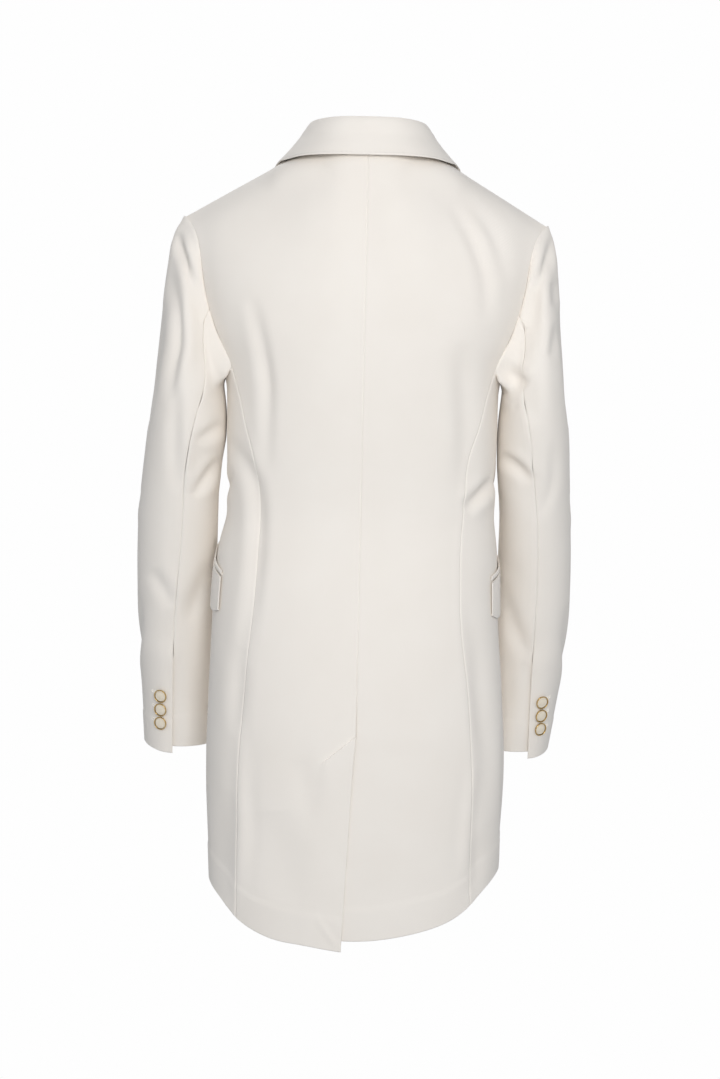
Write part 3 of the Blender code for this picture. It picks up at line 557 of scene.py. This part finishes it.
# looked at from, path of (across, height), depth, width, ridges beside it
BODY_FOLDS = (
    # pulls from the armholes, and creases at the waist
    (
        "back",
        ((0.122, -0.160), (0.111, -0.205), (0.104, -0.244), (0.102, -0.275), (0.102, -0.350)),
        0.0042, 0.0070, 0.38, 0.15,
    ),
    (
        "back",
        ((-0.088, -0.058), (-0.107, -0.083), (-0.120, -0.110), (-0.128, -0.137), (-0.131, -0.185)),
        0.0034, 0.0075, 0.20, 0.50,
    ),
    (
        "back",
        ((-0.096, -0.050), (-0.126, -0.076), (-0.140, -0.100), (-0.147, -0.140)),
        0.0022, 0.009, 0.1, 0.2,
    ),
    (
        "back",
        ((-0.105, -0.205), (-0.108, -0.250), (-0.112, -0.300), (-0.111, -0.370)),
        0.0034, 0.011, 0.3, 0.3,
    ),
    ("back", ((-0.146, -0.352), (-0.131, -0.369), (-0.112, -0.386)), 0.0055, 0.0065, 0.3, 0.5),
    (
        "back",
        (
            (0.145, -0.316), (0.123, -0.346), (0.113, -0.373),
            (0.110, -0.420), (0.115, -0.487), (0.125, -0.553),
        ),
        0.0050, 0.0080, 0.4, 0.15,
    ),
    # down the skirt, beside its seams
    ("back", ((0.125, -0.540), (0.128, -0.585), (0.131, -0.635)), 0.0031, 0.009, 0.3, 0.2),
    ("back", ((0.123, -0.640), (0.124, -0.700), (0.122, -0.750), (0.128, -0.830)), -0.0020, 0.007, 0.2, 0.5),
    ("back", ((0.142, -0.700), (0.146, -0.760), (0.141, -0.830)), 0.0028, 0.012, 0.3, 0.3),
    (
        "back",
        (
            (-0.118, -0.485), (-0.130, -0.538), (-0.134, -0.581),
            (-0.139, -0.624), (-0.144, -0.665), (-0.141, -0.730),
        ),
        0.0034, 0.010, 0.3, 0.3,
    ),
    ("back", ((-0.131, -0.660), (-0.123, -0.731), (-0.122, -0.790)), -0.0016, 0.006, 0.3, 0.3),
    ("back", ((-0.135, -0.745), (-0.137, -0.775), (-0.128, -0.812)), 0.0022, 0.009, 0.2, 0.2),
    # the soft unevenness of the vent's flap, and a crease at its corner
    ("back", ((0.058, -0.655), (0.051, -0.690), (0.047, -0.740)), 0.0016, 0.012, 0.2, 0.2),
    ("back", ((0.088, -0.715), (0.080, -0.765), (0.076, -0.815)), 0.0028, 0.024, 0.1, 0.2),
    ("back", ((0.041, -0.826), (0.027, -0.845), (0.013, -0.864)), -0.0011, 0.0026, 0.0, 0.3),
    # the back rises to meet the collar's fall
    (
        "back",
        (
            (-0.105, -0.040),
            (-0.085, -0.027),
            (-0.050, -0.016),
            (0.0, -0.014),
            (0.050, -0.016),
            (0.085, -0.027),
            (0.105, -0.040),
        ),
        -0.0070, 0.014, 0.0, 0.0,
    ),
    ("back", ((0.045, -0.018), (0.080, -0.026), (0.112, -0.045)), -0.0040, 0.014, 0.0, 0.0),
    ("back", ((-0.045, -0.018), (-0.080, -0.026), (-0.112, -0.045)), -0.0040, 0.014, 0.0, 0.0),
    # the fronts, which aren't seen from behind
    ("front", ((0.150, -0.118), (0.138, -0.165), (0.121, -0.207)), 0.0034, 0.009, 0.4, 0.2),
    ("front", ((-0.147, -0.108), (-0.138, -0.168), (-0.117, -0.222)), 0.0037, 0.010, 0.2, 0.5),
    ("front", ((0.087, -0.215), (0.092, -0.275), (0.083, -0.345)), 0.0028, 0.012, 0.3, 0.2),
    ("front", ((-0.083, -0.205), (-0.094, -0.268), (-0.089, -0.352)), 0.0031, 0.011, 0.2, 0.4),
    ("front", ((0.132, -0.398), (0.104, -0.421), (0.078, -0.432)), 0.0025, 0.007, 0.3, 0.4),
    ("front", ((-0.128, -0.392), (-0.100, -0.418), (-0.074, -0.431)), 0.0028, 0.007, 0.4, 0.3),
    ("front", ((-0.071, -0.446), (-0.096, -0.462), (-0.124, -0.489)), 0.0020, 0.008, 0.3, 0.2),
    ("front", ((0.074, -0.449), (0.101, -0.470), (0.122, -0.503)), 0.0019, 0.008, 0.2, 0.3),
    ("front", ((0.103, -0.610), (0.113, -0.700), (0.108, -0.795)), 0.0034, 0.013, 0.3, 0.2),
    ("front", ((-0.112, -0.590), (-0.121, -0.680), (-0.117, -0.785)), 0.0039, 0.014, 0.2, 0.4),
    ("front", ((-0.036, -0.600), (-0.044, -0.690), (-0.040, -0.790)), 0.0020, 0.017, 0.2, 0.2),
    # the sides, and rises that the sleeves rest against
    ("left", ((0.040, -0.350), (0.006, -0.369), (-0.034, -0.362)), 0.0026, 0.008, 0.3, 0.3),
    ("left", ((0.005, -0.262), (0.005, -0.325), (0.002, -0.400)), -0.0021, 0.030, 0.0, 0.0),
    ("right", ((0.005, -0.262), (0.005, -0.325), (0.002, -0.400)), -0.0021, 0.030, 0.0, 0.0),
    ("left", ((-0.012, -0.560), (-0.004, -0.650), (-0.014, -0.755)), 0.0029, 0.013, 0.2, 0.3),
    ("right", ((0.022, -0.344), (-0.014, -0.372), (-0.052, -0.366)), 0.0028, 0.008, 0.3, 0.3),
    ("right", ((0.012, -0.585), (0.020, -0.680), (0.008, -0.780)), 0.0033, 0.014, 0.3, 0.2),
)
VENT_EDGE = ("seam", "turned", VENT_TOP)

panels = {}
for word, side in SIDES:
    back = cloth_piece(
        "back_" + word,
        (side, 0, 0),
        ("seam", "hem", VENT_EDGE, "seam"),
        BODY_FOLDS,
    )
    flank = cloth_piece(
        "side_" + word,
        (0, -1, 0),
        ("seam", "hem", "seam", "seam"),
        BODY_FOLDS,
    )
    front = cloth_piece(
        "front_" + word,
        (side, 0, 0),
        ("seam", "hem", "turned", "seam"),
        BODY_FOLDS,
        stitched=(2,),
    )
    panels[word] = back, flank, front


# ------------------------------------------------------------- lapels and collar
# The lapels are the fronts' facings folded back from the break. The collar is one
# band, folded over its stand. Their turned edges are pricked by hand all round.

for word, side in SIDES:
    cloth_piece(
        "lapel_" + word,
        (side, 0, 0),
        ("turned", "turned", "turned", "turned"),
        (),
        press=False,
        stitched=(0, 1, 3),
    )
cloth_piece(
    "collar",
    (1, 0, 0),
    ("plain", "turned", "turned", "turned"),
    (),
    press=False,
    stitched=(1, 2, 3),
)


# ----------------------------------------------------------------------- sleeves
# Each sleeve is two pieces, a wide top one and a narrow under one, joined by a seam
# in front and one behind the elbow. The head is eased into the armhole, and the
# elbow seam ends in a vent at the cuff.

CUFF_VENT = -0.578
SLEEVE_STEP = 0.0027  # their folds are sharper
CUFF_EDGE = ("seam", "turned", CUFF_VENT)

# looked at from, path of (across, height), depth, width, ridges beside it
SLEEVE_FOLDS = {
    "left": (
        (
            "back",
            ((0.209, -0.090), (0.203, -0.109), (0.196, -0.127), (0.187, -0.150)),
            0.0064, 0.0050, 0.15, 0.5,
        ),
        (
            "back",
            ((0.213, -0.136), (0.203, -0.178), (0.201, -0.212), (0.206, -0.240), (0.210, -0.278)),
            0.0050, 0.0065, 0.15, 0.5,
        ),
        (
            "back",
            ((0.194, -0.165), (0.192, -0.230), (0.193, -0.300), (0.188, -0.400)),
            -0.0016, 0.0090, 0.0, 0.0,
        ),
        ("back", ((0.199, -0.258), (0.204, -0.316), (0.203, -0.375)), 0.0029, 0.007, 0.2, 0.4),
        ("back", ((0.154, -0.298), (0.165, -0.308), (0.181, -0.320)), 0.0035, 0.006, 0.3, 0.4),
        ("back", ((0.156, -0.336), (0.169, -0.356), (0.185, -0.381)), 0.0045, 0.006, 0.3, 0.5),
        ("back", ((0.167, -0.452), (0.179, -0.491), (0.192, -0.526)), 0.0032, 0.009, 0.3, 0.3),
        ("back", ((0.233, -0.464), (0.222, -0.484), (0.211, -0.508)), 0.0029, 0.008, 0.2, 0.3),
        ("front", ((0.236, -0.326), (0.214, -0.347), (0.188, -0.356)), 0.0051, 0.007, 0.4, 0.5),
        ("front", ((0.240, -0.368), (0.216, -0.381), (0.190, -0.384)), 0.0043, 0.006, 0.5, 0.3),
        ("front", ((0.192, -0.404), (0.212, -0.414), (0.237, -0.431)), 0.0032, 0.007, 0.3, 0.4),
        ("front", ((0.216, -0.145), (0.219, -0.200), (0.213, -0.262)), 0.0032, 0.010, 0.3, 0.3),
        ("front", ((0.188, -0.492), (0.203, -0.536), (0.223, -0.571)), 0.0029, 0.009, 0.2, 0.3),
        ("right", ((0.002, -0.250), (0.000, -0.310), (-0.008, -0.380)), -0.0024, 0.026, 0.0, 0.0),
        ("left", ((0.014, -0.165), (0.022, -0.235), (0.010, -0.305)), 0.0029, 0.012, 0.3, 0.2),
        ("left", ((-0.012, -0.372), (-0.036, -0.392), (-0.062, -0.391)), 0.0029, 0.008, 0.3, 0.3),
        ("left", ((-0.030, -0.496), (-0.056, -0.545), (-0.092, -0.576)), 0.0027, 0.010, 0.3, 0.2),
    ),
    "right": (
        (
            "back",
            ((-0.208, -0.084), (-0.201, -0.106), (-0.194, -0.126), (-0.184, -0.147)),
            0.0050, 0.0056, 0.5, 0.2,
        ),
        ("back", ((-0.206, -0.136), (-0.208, -0.150), (-0.207, -0.166)), 0.0029, 0.006, 0.4, 0.1),
        ("back", ((-0.210, -0.180), (-0.208, -0.200), (-0.204, -0.222)), 0.0032, 0.006, 0.4, 0.1),
        ("back", ((-0.183, -0.140), (-0.183, -0.165), (-0.184, -0.192)), 0.0022, 0.008, 0.3, 0.3),
        ("back", ((-0.165, -0.179), (-0.169, -0.186), (-0.174, -0.193)), 0.0026, 0.004, 0.3, 0.2),
        ("back", ((-0.148, -0.226), (-0.161, -0.239), (-0.175, -0.252)), 0.0066, 0.0075, 0.25, 0.25),
        ("back", ((-0.150, -0.259), (-0.158, -0.266), (-0.167, -0.270)), -0.0029, 0.008, 0.2, 0.2),
        ("back", ((-0.174, -0.240), (-0.181, -0.262), (-0.187, -0.292)), 0.0026, 0.010, 0.3, 0.3),
        ("back", ((-0.153, -0.327), (-0.169, -0.338), (-0.188, -0.357)), 0.0042, 0.006, 0.3, 0.5),
        ("back", ((-0.208, -0.312), (-0.211, -0.355), (-0.199, -0.395)), 0.0021, 0.006, 0.2, 0.3),
        ("back", ((-0.160, -0.470), (-0.175, -0.521), (-0.196, -0.562)), 0.0032, 0.009, 0.3, 0.3),
        ("front", ((-0.228, -0.322), (-0.206, -0.341), (-0.182, -0.349)), 0.0048, 0.007, 0.5, 0.4),
        ("front", ((-0.230, -0.360), (-0.208, -0.376), (-0.180, -0.380)), 0.0045, 0.006, 0.3, 0.5),
        ("front", ((-0.186, -0.402), (-0.205, -0.416), (-0.226, -0.437)), 0.0034, 0.007, 0.4, 0.3),
        ("front", ((-0.209, -0.140), (-0.213, -0.192), (-0.206, -0.250)), 0.0034, 0.010, 0.3, 0.3),
        ("front", ((-0.182, -0.498), (-0.196, -0.541), (-0.214, -0.580)), 0.0029, 0.009, 0.3, 0.2),
        ("left", ((0.002, -0.250), (0.000, -0.310), (-0.010, -0.380)), -0.0024, 0.026, 0.0, 0.0),
        ("right", ((0.010, -0.160), (0.016, -0.228), (0.002, -0.296)), 0.0030, 0.012, 0.3, 0.2),
        ("right", ((-0.018, -0.368), (-0.042, -0.389), (-0.070, -0.386)), 0.0030, 0.008, 0.3, 0.3),
        ("right", ((-0.036, -0.500), (-0.064, -0.552), (-0.102, -0.585)), 0.0027, 0.010, 0.3, 0.2),
    ),
}

for word, _ in SIDES:
    cloth_piece(
        "sleeve_top_" + word,
        (0, -1, 0),
        ("armhole", "hem", CUFF_EDGE, "seam"),
        SLEEVE_FOLDS[word],
        step=SLEEVE_STEP,
        sewn_to=panels[word],
    )
    cloth_piece(
        "sleeve_under_" + word,
        (0, 1, 0),
        ("armhole", "hem", "seam", "seam"),
        SLEEVE_FOLDS[word],
        step=SLEEVE_STEP,
        sewn_to=panels[word],
    )


# ----------------------------------------------------------------------- pockets
# Slanted jetted pockets with a flap: a folded strip of the cloth along the mouth
# and a lined flap that hangs out from under it, with rounded corners.

FLAP_STEP = 0.003
JET_STEP = 0.002

for word, _ in SIDES:
    cloth_piece(
        "pocket_flap_" + word,
        (0, -1, 0),
        ("plain", "turned", "turned", "turned"),
        (),
        step=FLAP_STEP,
        press=False,
        stitched=(1, 2, 3),
    )
    cloth_piece(
        "pocket_jet_" + word,
        (0, -1, 0),
        ("turned", "turned", "turned", "turned"),
        (),
        step=JET_STEP,
        press=False,
    )


# ----------------------------------------------------------------------- buttons
# Cast metal buttons, gilt and polished, with a pearly lacquered face set in the
# rim. They are sewn on by a shank, three to a cuff and six in front.

GILT = "#BC9F66"
PEARL = "#EDE4D3"
PEARL_SHADE = "#DCCFB8"
WEAR_SCALE = 900.0  # of the polish's unevenness, and of the clouds in the pearl
PEARL_SCALE = 350.0
ROUND = 56  # points round a button
BEAD = 0.07  # radius of the rim's rolled edge, in radii of the button
BEAD_TURNS = 9
RIM_TOP = 0.0019
FACE = 0.86  # how far out the face reaches, in radii
FACE_PLAY = 0.0003


def gilt():
    """Polished pale gilt: a tight, bright reflection with a warm tint."""
    material = bpy.data.materials.new("gilt_brass")
    material.use_nodes = True
    tree = material.node_tree
    shader = tree.nodes["Principled BSDF"]
    shader.inputs["Base Color"].default_value = linear(GILT)
    shader.inputs["Metallic"].default_value = 1.0
    place = add(tree, "TexCoord")
    wear = add(tree, "TexNoise", {"Scale": WEAR_SCALE, "Detail": 2.0}, {"Vector": place.outputs["Object"]})
    rough = add(tree, "MapRange", {3: 0.16, 4: 0.30}, {0: wear.outputs["Fac"]})
    tree.links.new(rough.outputs[0], shader.inputs["Roughness"])
    return material


def pearl():
    """Ivory lacquer with a pearly depth: smooth, glossy, softly clouded."""
    material = bpy.data.materials.new("pearl_lacquer")
    material.use_nodes = True
    tree = material.node_tree
    shader = tree.nodes["Principled BSDF"]
    shader.inputs["Roughness"].default_value = 0.28
    shader.inputs["Coat Weight"].default_value = 0.6
    shader.inputs["Coat Roughness"].default_value = 0.08
    place = add(tree, "TexCoord")
    clouds = add(tree, "TexNoise", {"Scale": PEARL_SCALE, "Detail": 2.0}, {"Vector": place.outputs["Object"]})
    shades = {6: linear(PEARL_SHADE), 7: linear(PEARL)}
    tint = add(tree, "Mix", shades, {0: clouds.outputs["Fac"]}, data_type="RGBA")
    tree.links.new(tint.outputs[2], shader.inputs["Base Color"])
    return material


gilt_metal = gilt()
pearl_lacquer = pearl()


def turned_piece(name, profile, centre, axis, material):
    """Turns a closed outline of (radius, height) rows round an axis."""
    helper = Vector((0, 0, 1)) if abs(axis.z) < 0.9 else Vector((1, 0, 0))
    right = helper.cross(axis).normalized()
    basis = Matrix((right, axis.cross(right), axis)).transposed()
    shape = bmesh.new()
    turns = [2 * math.pi * k / ROUND for k in range(ROUND)]
    rings = []
    for radius, height in profile:
        if radius < 1e-7:
            rings.append([shape.verts.new(centre + axis * height)] * ROUND)
            continue
        ring = [Vector((radius * math.cos(t), radius * math.sin(t), height)) for t in turns]
        rings.append([shape.verts.new(centre + basis @ point) for point in ring])
    if profile[0][0] > 1e-7:
        rings.append(rings[0])
    for low, high in zip(rings, rings[1:]):
        for k in range(ROUND):
            corners = [low[k - 1], low[k], high[k], high[k - 1]]
            corners = [vertex for i, vertex in enumerate(corners) if vertex not in corners[:i]]
            if len(corners) > 2:
                shape.faces.new(corners)
    bmesh.ops.recalc_face_normals(shape, faces=shape.faces)
    mesh = bpy.data.meshes.new(name)
    shape.to_mesh(mesh)
    shape.free()
    mesh.materials.append(material)
    mesh.shade_smooth()
    mesh.set_sharp_from_angle(angle=math.radians(50))
    made = bpy.data.objects.new(name, mesh)
    bpy.context.scene.collection.objects.link(made)
    return made


def button_place(node, backward):
    """The middle of a packed button's underside, its outward axis, and its radius."""
    points = np.array([vertex.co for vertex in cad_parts[node].data.vertices])
    points = np.unique(np.round(points, 7), axis=0)
    middle = points.mean(axis=0)
    axis = np.linalg.svd(points - middle)[2][2]
    axis = axis if axis[1] * backward > 0 else -axis
    heights = (points - middle) @ axis
    across = (points - middle) - np.outer(heights, axis)
    return Vector(middle + axis * heights.min()), Vector(axis), float(np.linalg.norm(across, axis=1).max())


def button(name, backward, on):
    """A rolled rim, and a face set in it: a raised border, a groove and a low dome."""
    base, axis, radius = button_place(name + "_rim", backward)
    bead = radius * BEAD
    rim = [(radius * FACE, 0.0004), (radius * FACE, RIM_TOP)]
    for k in range(BEAD_TURNS):
        turn = math.pi * (1 - k / (BEAD_TURNS - 1) * 1.15)
        out = radius * (FACE + BEAD) + bead * math.cos(turn)
        rim.append((out, RIM_TOP + bead * 1.1 * math.sin(turn)))
    rim += [(radius * 0.985, 0.0012), (radius * 0.95, 0.0005), (radius * 0.90, 0.0)]
    edge = radius * FACE - FACE_PLAY
    face = [(0.0, 0.0), (edge * 0.8, 0.0), (edge, 0.0004), (edge, 0.0014)]
    face += [(edge * 0.93, 0.0018), (edge * 0.74, 0.0020), (edge * 0.68, 0.00175)]
    face += [(edge * 0.62, 0.0020), (edge * 0.40, 0.0022), (edge * 0.20, 0.0023), (0.0, 0.00235)]
    for part, profile, material, finish in (
        ("_rim", rim, gilt_metal, "button_rim"),
        ("_face", face, pearl_lacquer, "button_face"),
    ):
        made = turned_piece("coat_" + name + part, profile, base, axis, material)
        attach(made, "root")
        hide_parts(name + part)
        pieces_on["coat_" + on].append(made)


for word, _ in SIDES:
    for number in (1, 2, 3):
        button(f"cuff_button_{word}_{number}", 1, "sleeve_top_" + word)
        button(f"front_button_{word}_{number}", -1, "front_right")


# ------------------------------------------------------------------- buttonholes
# Slits worked round with silk twist: three through the right front, and a sham one
# out from each cuff button, stitched on the cloth without a slit.

SILK = "#F8F3EA"
TWIST = 0.00055  # radius of the cord of stitches
TWIST_ROUND = 8  # points round it
TWIST_LIFT = 0.3  # how far its middle stands off the cloth, in its radii
HOLE_WIDTH = 0.0024
HOLE_END = 9  # points round the end of a hole
FRONT_HOLE = 0.021
CUFF_HOLE = 0.012


def silk_twist():
    """Silk buttonhole twist: paler than the wool, with a faint lustre."""
    material = bpy.data.materials.new("silk_twist")
    material.use_nodes = True
    shader = material.node_tree.nodes["Principled BSDF"]
    shader.inputs["Base Color"].default_value = linear(SILK)
    shader.inputs["Roughness"].default_value = 0.55
    return material


silk = silk_twist()


def buttonholes(name, on, places):
    """Cords of stitches laid on a cloth, each round a line from a place, along a way."""
    cloth = BVHTree.FromObject(bpy.data.objects["coat_" + on], bpy.context.evaluated_depsgraph_get())
    shape = bmesh.new()
    for place, way, length in places:
        _, normal, _, _ = cloth.find_nearest(place)
        way = (way - normal * way.dot(normal)).normalized()
        across = normal.cross(way)
        path = []
        for end, turn in ((length, -math.pi / 2), (0, math.pi / 2)):
            for k in range(HOLE_END):
                angle = turn + math.pi * k / (HOLE_END - 1)
                middle = place + way * (end + HOLE_WIDTH / 2 * math.cos(angle))
                path.append(middle + across * HOLE_WIDTH / 2 * math.sin(angle))
        rings = []
        for k, point in enumerate(path):
            spot, normal, _, _ = cloth.find_nearest(point)
            ahead = (path[(k + 1) % len(path)] - path[k - 1]).normalized()
            aside = ahead.cross(normal)
            ring = []
            for i in range(TWIST_ROUND):
                t = 2 * math.pi * i / TWIST_ROUND
                off = normal * (math.sin(t) + TWIST_LIFT) + aside * math.cos(t)
                ring.append(shape.verts.new(spot + off * TWIST))
            rings.append(ring)
        for ring, following in zip(rings, rings[1:] + rings[:1]):
            for i in range(TWIST_ROUND):
                shape.faces.new((ring[i - 1], ring[i], following[i], following[i - 1]))
    bmesh.ops.recalc_face_normals(shape, faces=shape.faces)
    mesh = bpy.data.meshes.new(name)
    shape.to_mesh(mesh)
    shape.free()
    mesh.materials.append(silk)
    mesh.shade_smooth()
    made = bpy.data.objects.new(name, mesh)
    bpy.context.scene.collection.objects.link(made)
    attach(made, "root")
    pieces_on["coat_" + on].append(made)


for word, side in SIDES:
    places = []
    for number in (1, 2, 3):
        middle = button_place(f"cuff_button_{word}_{number}_rim", 1)[0]
        places.append((middle + Vector((side * 0.002, 0, 0.0015)), Vector((side, 0, 0.12)), CUFF_HOLE))
    buttonholes("coat_cuff_buttonholes_" + word, "sleeve_top_" + word, places)
places = []
for number in (1, 2, 3):
    middle = button_place(f"front_button_left_{number}_rim", -1)[0]
    places.append((middle + Vector((0.003, 0, 0)), Vector((-1, 0, 0)), FRONT_HOLE))
buttonholes("coat_front_buttonholes", "front_right", places)


# --------------------------------------------------------------- floor and light
# A pale, seamless studio floor that runs out into a white surround, a broad soft key
# behind the coat, on the camera's side, weaker ones from above and from in front, and
# light from all round that is dimmer above, below and to the sides.

FLOOR_LEVEL = -1.45
FLOOR_RADIUS = 40.0
FLOOR_NEAR = 0.3  # from here on the floor brightens,
FLOOR_FAR = 1.2  # and here it can't be told from the surround
SURROUND = "#FEFEFE"
CEILING = "#B0B2B6"
BELOW = "#A4A8AD"
ASIDE = "#7F868F"  # above and below the sides, which gives the sleeves their shading
FLOOR = "#F2F2F1"
# The surround is a white band between the two middle values, which are sines of the
# height above the horizon, and is lost beyond the outer ones.
BAND = (-0.16, -0.06, 0.17, 0.36)
# The dimming sets in between these sines of the angle to the side,
ASIDE_FROM, ASIDE_FULL = 0.35, 0.75
# and between these of the height above or below the horizon.
OFF_BAND_FROM, OFF_BAND_FULL = 0.12, 0.36

# name, place, what it is aimed at, size, watts
LIGHTS = (
    ("key", (-0.20, 2.15, 0.20), (0, 0, -0.25), 0.9, 24),
    ("top", (0, 0.6, 2.4), (0, 0, -0.5), 2.4, 4),
    ("fill", (0.7, -2.3, 1.5), (0, 0, -0.3), 1.2, 26),
)


def floor_paint():
    """Matt studio paint: pale, and lost in the white surround far out."""
    material = bpy.data.materials.new("studio_floor")
    material.use_nodes = True
    tree = material.node_tree
    shader = tree.nodes["Principled BSDF"]
    shader.inputs["Base Color"].default_value = linear(FLOOR)
    shader.inputs["Roughness"].default_value = 0.9
    place = add(tree, "TexCoord")
    reach = add(tree, "VectorMath", links={0: place.outputs["Object"]}, operation="LENGTH")
    far = add(
        tree,
        "MapRange",
        {1: FLOOR_NEAR, 2: FLOOR_FAR},
        {0: reach.outputs["Value"]},
        interpolation_type="SMOOTHSTEP",
    )
    glow = add(tree, "Emission", {"Color": linear(SURROUND), "Strength": 1.0})
    mixed = add(tree, "MixShader", links={0: far.outputs[0], 1: shader.outputs[0], 2: glow.outputs[0]})
    tree.links.new(mixed.outputs[0], tree.nodes["Material Output"].inputs["Surface"])
    return material


shape = bmesh.new()
bmesh.ops.create_circle(shape, cap_ends=True, radius=FLOOR_RADIUS, segments=96)
floor_mesh = bpy.data.meshes.new("floor")
shape.to_mesh(floor_mesh)
shape.free()
floor_mesh.materials.append(floor_paint())
floor = bpy.data.objects.new("floor", floor_mesh)
floor.location = (0, 0, FLOOR_LEVEL)
bpy.context.scene.collection.objects.link(floor)
floor.visible_diffuse = False

world = bpy.data.worlds.new("surround")
world.use_nodes = True
sky = world.node_tree
way = add(sky, "TexCoord")
split = add(sky, "SeparateXYZ", links={0: way.outputs["Generated"]})
height = add(sky, "MapRange", {1: -1.0, 2: 1.0}, {0: split.outputs["Z"]})
shade = add(sky, "ValToRGB", links={0: height.outputs[0]})
steps = shade.color_ramp.elements
steps[0].color, steps[1].color = linear(BELOW), linear(CEILING)
steps[0].position, steps[1].position = (BAND[0] + 1) / 2, (BAND[3] + 1) / 2
for sine in BAND[1:3]:
    steps.new((sine + 1) / 2).color = linear(SURROUND)
shares = []
for direction, low, high in (("X", ASIDE_FROM, ASIDE_FULL), ("Z", OFF_BAND_FROM, OFF_BAND_FULL)):
    size = add(sky, "Math", links={0: split.outputs[direction]}, operation="ABSOLUTE")
    shares.append(
        add(sky, "MapRange", {1: low, 2: high}, {0: size.outputs[0]}, interpolation_type="SMOOTHSTEP")
    )
share = add(sky, "Math", links={0: shares[0].outputs[0], 1: shares[1].outputs[0]}, operation="MULTIPLY")
mixed = {0: share.outputs[0], 6: shade.outputs["Color"]}
dimmed = add(sky, "Mix", {7: linear(ASIDE)}, mixed, data_type="RGBA")
sky.links.new(dimmed.outputs[2], sky.nodes["Background"].inputs["Color"])
bpy.context.scene.world = world
bpy.context.scene.view_settings.view_transform = "Standard"

for name, place, aim, size, watts in LIGHTS:
    data = bpy.data.lights.new(name, "AREA")
    data.shape = "SQUARE"
    data.size = size
    data.energy = watts
    light = bpy.data.objects.new(name, data)
    light.location = place
    light.rotation_euler = (Vector(aim) - Vector(place)).to_track_quat("-Z", "Y").to_euler()
    bpy.context.scene.collection.objects.link(light)
